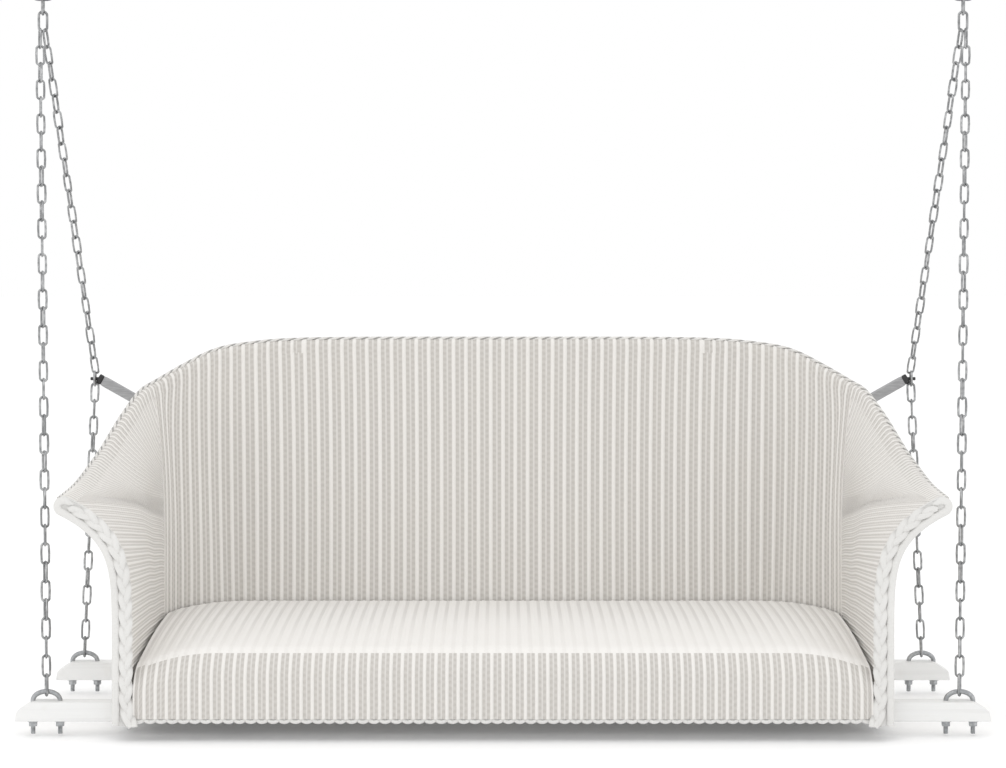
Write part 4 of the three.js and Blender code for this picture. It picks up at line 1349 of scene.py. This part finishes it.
for end, y in (("front", 0), ("rear", REAR_BEAM_Y)):
    for name, side in SIDES:
        bolt = u_bolt(f"{end}_{name}_bent_rod", side * CHAIN_X, y)
        settle(bolt, bolt_zinc, "galvanised_fasteners", f"{end}_{name}_u_bolt")
        for leg, way in (("inner", -1), ("outer", 1)):
            nut = flanged_nut(f"{end}_{name}_{leg}_flanged_nut", side * (CHAIN_X + way * UBOLT_HALF_SPAN), y)
            settle(nut, bolt_zinc, "galvanised_fasteners", f"{end}_{name}_{leg}_nut")

# %% [markdown]
# ## Chain
# One link is a torus pulled long: its upper half moves up and its lower half down. Every other link is turned
# by a quarter, and each hooks inside the next. Taut links sit one inner length apart. There are about 150 of
# them, so a link keeps only 96 faces.

# %% One link
WIRE = 0.004
LINK_WIDTH = 0.0172


def link(centre, direction, quarter, half_width, half_height, wire_radius, steps=(16, 6)):
    """A link whose long axis points along direction; quarter 0 shows its side to the viewer."""
    start_clean()
    bpy.ops.mesh.primitive_torus_add(
        major_radius=half_width, minor_radius=wire_radius, major_segments=steps[0], minor_segments=steps[1],
        rotation=(math.pi / 2, 0, 0))
    loop = bpy.context.object
    apply_place(loop)
    straight = half_height - half_width
    bpy.ops.object.mode_set(mode="EDIT")
    for way in (1, -1):
        pick_vertices(loop, lambda co, way=way: co.z * way > wire_radius * 0.2)
        bpy.ops.transform.translate(value=(0, 0, way * straight))
    bpy.ops.object.mode_set(mode="OBJECT")
    loop.rotation_mode = "QUATERNION"
    upright = Vector(direction).normalized()
    tilt = Vector((0, 0, 1)).rotation_difference(upright)
    spin = Vector((0, 0, 1)).rotation_difference(Vector((0, 0, 1)))
    spin = spin.__class__((0, 0, 1), quarter)
    loop.rotation_quaternion = tilt @ spin
    loop.location = centre
    apply_place(loop)
    return loop


def copied_link(pattern, centre, direction, angle):
    """A copy of a finished link with its own mesh, turned and put in its place."""
    mesh = pattern.data.copy()
    loop = bpy.data.objects.new("link", mesh)
    tilt = Vector((0, 0, 1)).rotation_difference(Vector(direction).normalized()).to_matrix().to_4x4()
    spin = tilt.Rotation(angle, 4, "Z")
    mesh.transform(tilt @ spin)
    mesh.transform(tilt.Translation(centre))
    bpy.context.scene.collection.objects.link(loop)
    return loop


# %% [markdown]
# A strand is given by the middles of its first and last link, and by how many links lie between them. The
# first number of quarter turns says how its first link is turned.


# %% Hanging strands
def strand_of_links(name, first, last, intervals, first_turn):
    first, last = Vector(first), Vector(last)
    run = last - first
    pitch = run.length / intervals
    pattern = link((0, 0, 0), (0, 0, 1), 0, (LINK_WIDTH - WIRE) / 2, (pitch + WIRE) / 2, WIRE / 2)
    loops = []
    for k in range(intervals + 1):
        wobble = 0.16 * math.sin(2.3 * k + first.x * 40) if 0 < k < intervals else 0
        angle = math.pi / 2 * ((k + first_turn) % 2) + wobble
        loops.append(copied_link(pattern, first + run * (k / intervals), run, angle))
    bpy.data.objects.remove(pattern)
    chain = join_pieces(name, loops)
    make_active(chain)
    bpy.ops.object.shade_smooth()
    return chain


EDGE_ON, FACE_ON = 1, 0  # turned as seen from the front
STRAND_TOP = 1.105
HOOK_ON_BOLT = 0.02575
PEG_Y = 0.555
PEG_Z = 0.500
for name, side in SIDES:
    foot = (side * CHAIN_X, 0, HOOK_ON_BOLT)
    front_top = (side * (APEX_X + 0.0045), HINGE_Y - 0.004, STRAND_TOP)
    front = strand_of_links(f"{name}_front_chain_links", front_top, foot, 36, EDGE_ON)
    settle(front, chain_zinc, "galvanised_chain", f"{name}_front_chain")
    rear_top = (side * (APEX_X - 0.0045), HINGE_Y + 0.004, STRAND_TOP)
    above_peg = (side * CHAIN_X, PEG_Y - 0.007, PEG_Z + 0.0255)
    upper = strand_of_links(f"{name}_rear_upper_links", rear_top, above_peg, 21, EDGE_ON)
    settle(upper, chain_zinc, "galvanised_chain", f"{name}_rear_chain_upper")
    below_peg = (side * CHAIN_X, PEG_Y - 0.005, PEG_Z - 0.0255)
    rear_foot = (side * CHAIN_X, REAR_BEAM_Y, HOOK_ON_BOLT)
    lower = strand_of_links(f"{name}_rear_lower_links", below_peg, rear_foot, 15, FACE_ON)
    around_peg = link((side * (CHAIN_X + 0.0005), PEG_Y, PEG_Z), (0, 0, 1), math.pi / 2, 0.00725, 0.013, 0.00225, (24, 8))
    bpy.ops.object.shade_smooth()
    lower = join_pieces(f"{name}_rear_lower_links", [lower, around_peg])
    settle(lower, chain_zinc, "galvanised_chain", f"{name}_rear_chain_lower")

# %% Large links at the top
TOP_LINK_Z = 1.16375
JOINING_LINK_Z = 1.13475
for name, side in SIDES:
    for part, height, quarter in (("top", TOP_LINK_Z, math.pi / 2), ("joining", JOINING_LINK_Z, 0)):
        ring = link((side * APEX_X, HINGE_Y, height), (0, 0, 1), quarter, 0.00725, 0.017, 0.00225, (28, 10))
        bpy.ops.object.shade_smooth()
        ring.name = f"{name}_{part}_steel_ring"
        settle(ring, chain_zinc, "galvanised_chain", f"{name}_{part}_link")

# %% [markdown]
# ## Chain brackets
# Behind each shoulder a flat-oval bar leaves the back and carries the rear chain on a peg, so that the chain
# keeps clear of the woven rim. A black plastic plug closes the bar's end.

# %% Brackets and plugs
BRACKET_LINE = (
    (0.553, 0.577, 0.384), (0.570, 0.568, 0.393), (0.598, 0.560, 0.412), (0.625, 0.556, 0.430),
    (0.655, 0.555, 0.450), (0.690, 0.555, 0.470), (0.736, 0.555, 0.496),
)
for name, side in SIDES:
    line = through(BRACKET_LINE, np.linspace(0, 6, 49)) * (side, 1, 1)
    ends = np.ones((49, 14))
    ends[[0, -1]] = 0.93
    bar = sweep(f"{name}_flat_oval_bar", line, flat_oval_section(0.0036, 0.0095), (0, 0, 1), ends)
    settle(bar, bracket_metal, "satin_bracket", f"{name}_chain_bracket")
    heading = unit(line[-1] - line[-2])
    plug_line = line[-1] + heading * np.array((0.0005, 0.0015, 0.0085, 0.0095))[:, None]
    taper = np.repeat(np.array((0.88, 1, 1, 0.86))[:, None], 14, 1)
    plug = sweep(f"{name}_plug", plug_line, flat_oval_section(0.0054, 0.0090), (0, 0, 1), taper)
    peg_z = float(plug_line[-1][2]) - 0.001
    peg_line = np.array([(side * (CHAIN_X + 0.0005 + d), PEG_Y, peg_z) for d in (-0.008, -0.0075, 0.0075, 0.008)])
    peg_taper = np.repeat(np.array((0.8, 1, 1, 0.8))[:, None], 12, 1)
    peg = sweep(f"{name}_peg", peg_line, round_section(0.003, sides=12), (0, 0, 1), peg_taper)
    plug = join_pieces(f"{name}_black_end_plug", [plug, peg])
    settle(plug, black_plastic, "black_plug", f"{name}_bracket_plug")

# %% [markdown]
# ## Ceiling hooks
# A steel plate with four screw holes and a welded eye takes each pair of chains. The plate is a flattened cube
# with rounded corners, drilled by a Boolean modifier. The eye is a bent rod.

# %% Ceiling hooks
HINGE_Z = 1.174
CEILING_Z = 1.214
EYE_HALF_SPAN = 0.017
PLATE = (0.076, 0.056, 0.005)
for name, side in SIDES:
    start_clean()
    middle = Vector((side * APEX_X, HINGE_Y, CEILING_Z - PLATE[2] / 2))
    bpy.ops.mesh.primitive_cube_add(size=1, location=middle)
    plate = bpy.context.object
    plate.scale = PLATE
    apply_place(plate)
    drills = []
    for dx in (-0.027, 0.027):
        for dy in (-0.018, 0.018):
            start_clean()
            bpy.ops.mesh.primitive_cylinder_add(
                vertices=24, radius=0.0028, depth=0.02, location=middle + Vector((dx, dy, 0)))
            drills.append(bpy.context.object)
    drill = join_pieces("drill", drills)
    make_active(plate)
    cut = plate.modifiers.new("holes", "BOOLEAN")
    cut.operation = "DIFFERENCE"
    cut.object = drill
    bpy.ops.object.modifier_apply(modifier=cut.name)
    bpy.data.objects.remove(drill)
    round_edges(plate, 0.0008)
    bend = np.linspace(np.pi, 1.5 * np.pi, 9)
    corner = np.stack((-EYE_HALF_SPAN + 0.009 + 0.009 * np.cos(bend), 0.009 + 0.009 * np.sin(bend)), 1)
    half_eye = np.concatenate(([(-EYE_HALF_SPAN, 0.0355)], corner))
    eye_line = np.concatenate((half_eye, half_eye[::-1] * (-1, 1)))
    eye_path = np.stack((middle.x + eye_line[:, 0], np.full(len(eye_line), HINGE_Y), HINGE_Z + eye_line[:, 1]), 1)
    eye = sweep(f"{name}_eye", eye_path, round_section(ROD_RADIUS, sides=14), (0, 1, 0))
    hook = join_pieces(f"{name}_ceiling_plate_and_eye", [plate, eye])
    settle(hook, ceiling_iron, "ceiling_iron", f"{name}_ceiling_eye", body="ceiling_hooks")

# %% [markdown]
# ## Hidden steel
# The frame tubes, posts, springs, bars and bolts keep their CAD shapes, which are right. They only get a
# better finish through their material slots.

# %% Finishes for the CAD parts that stay
slot_finish = {"frame_steel": frame_paint, "galvanised_fasteners": bolt_zinc}
kept = set()
for part in frame["record"]["subparts"]:
    finish = slot_finish.get(part["material_slot"])
    node = bpy.data.objects.get(part["node"])
    if finish and node:
        for place in node.material_slots:
            place.material = finish
        kept.add(part["node"])
print(len(kept), "CAD parts keep their shape")
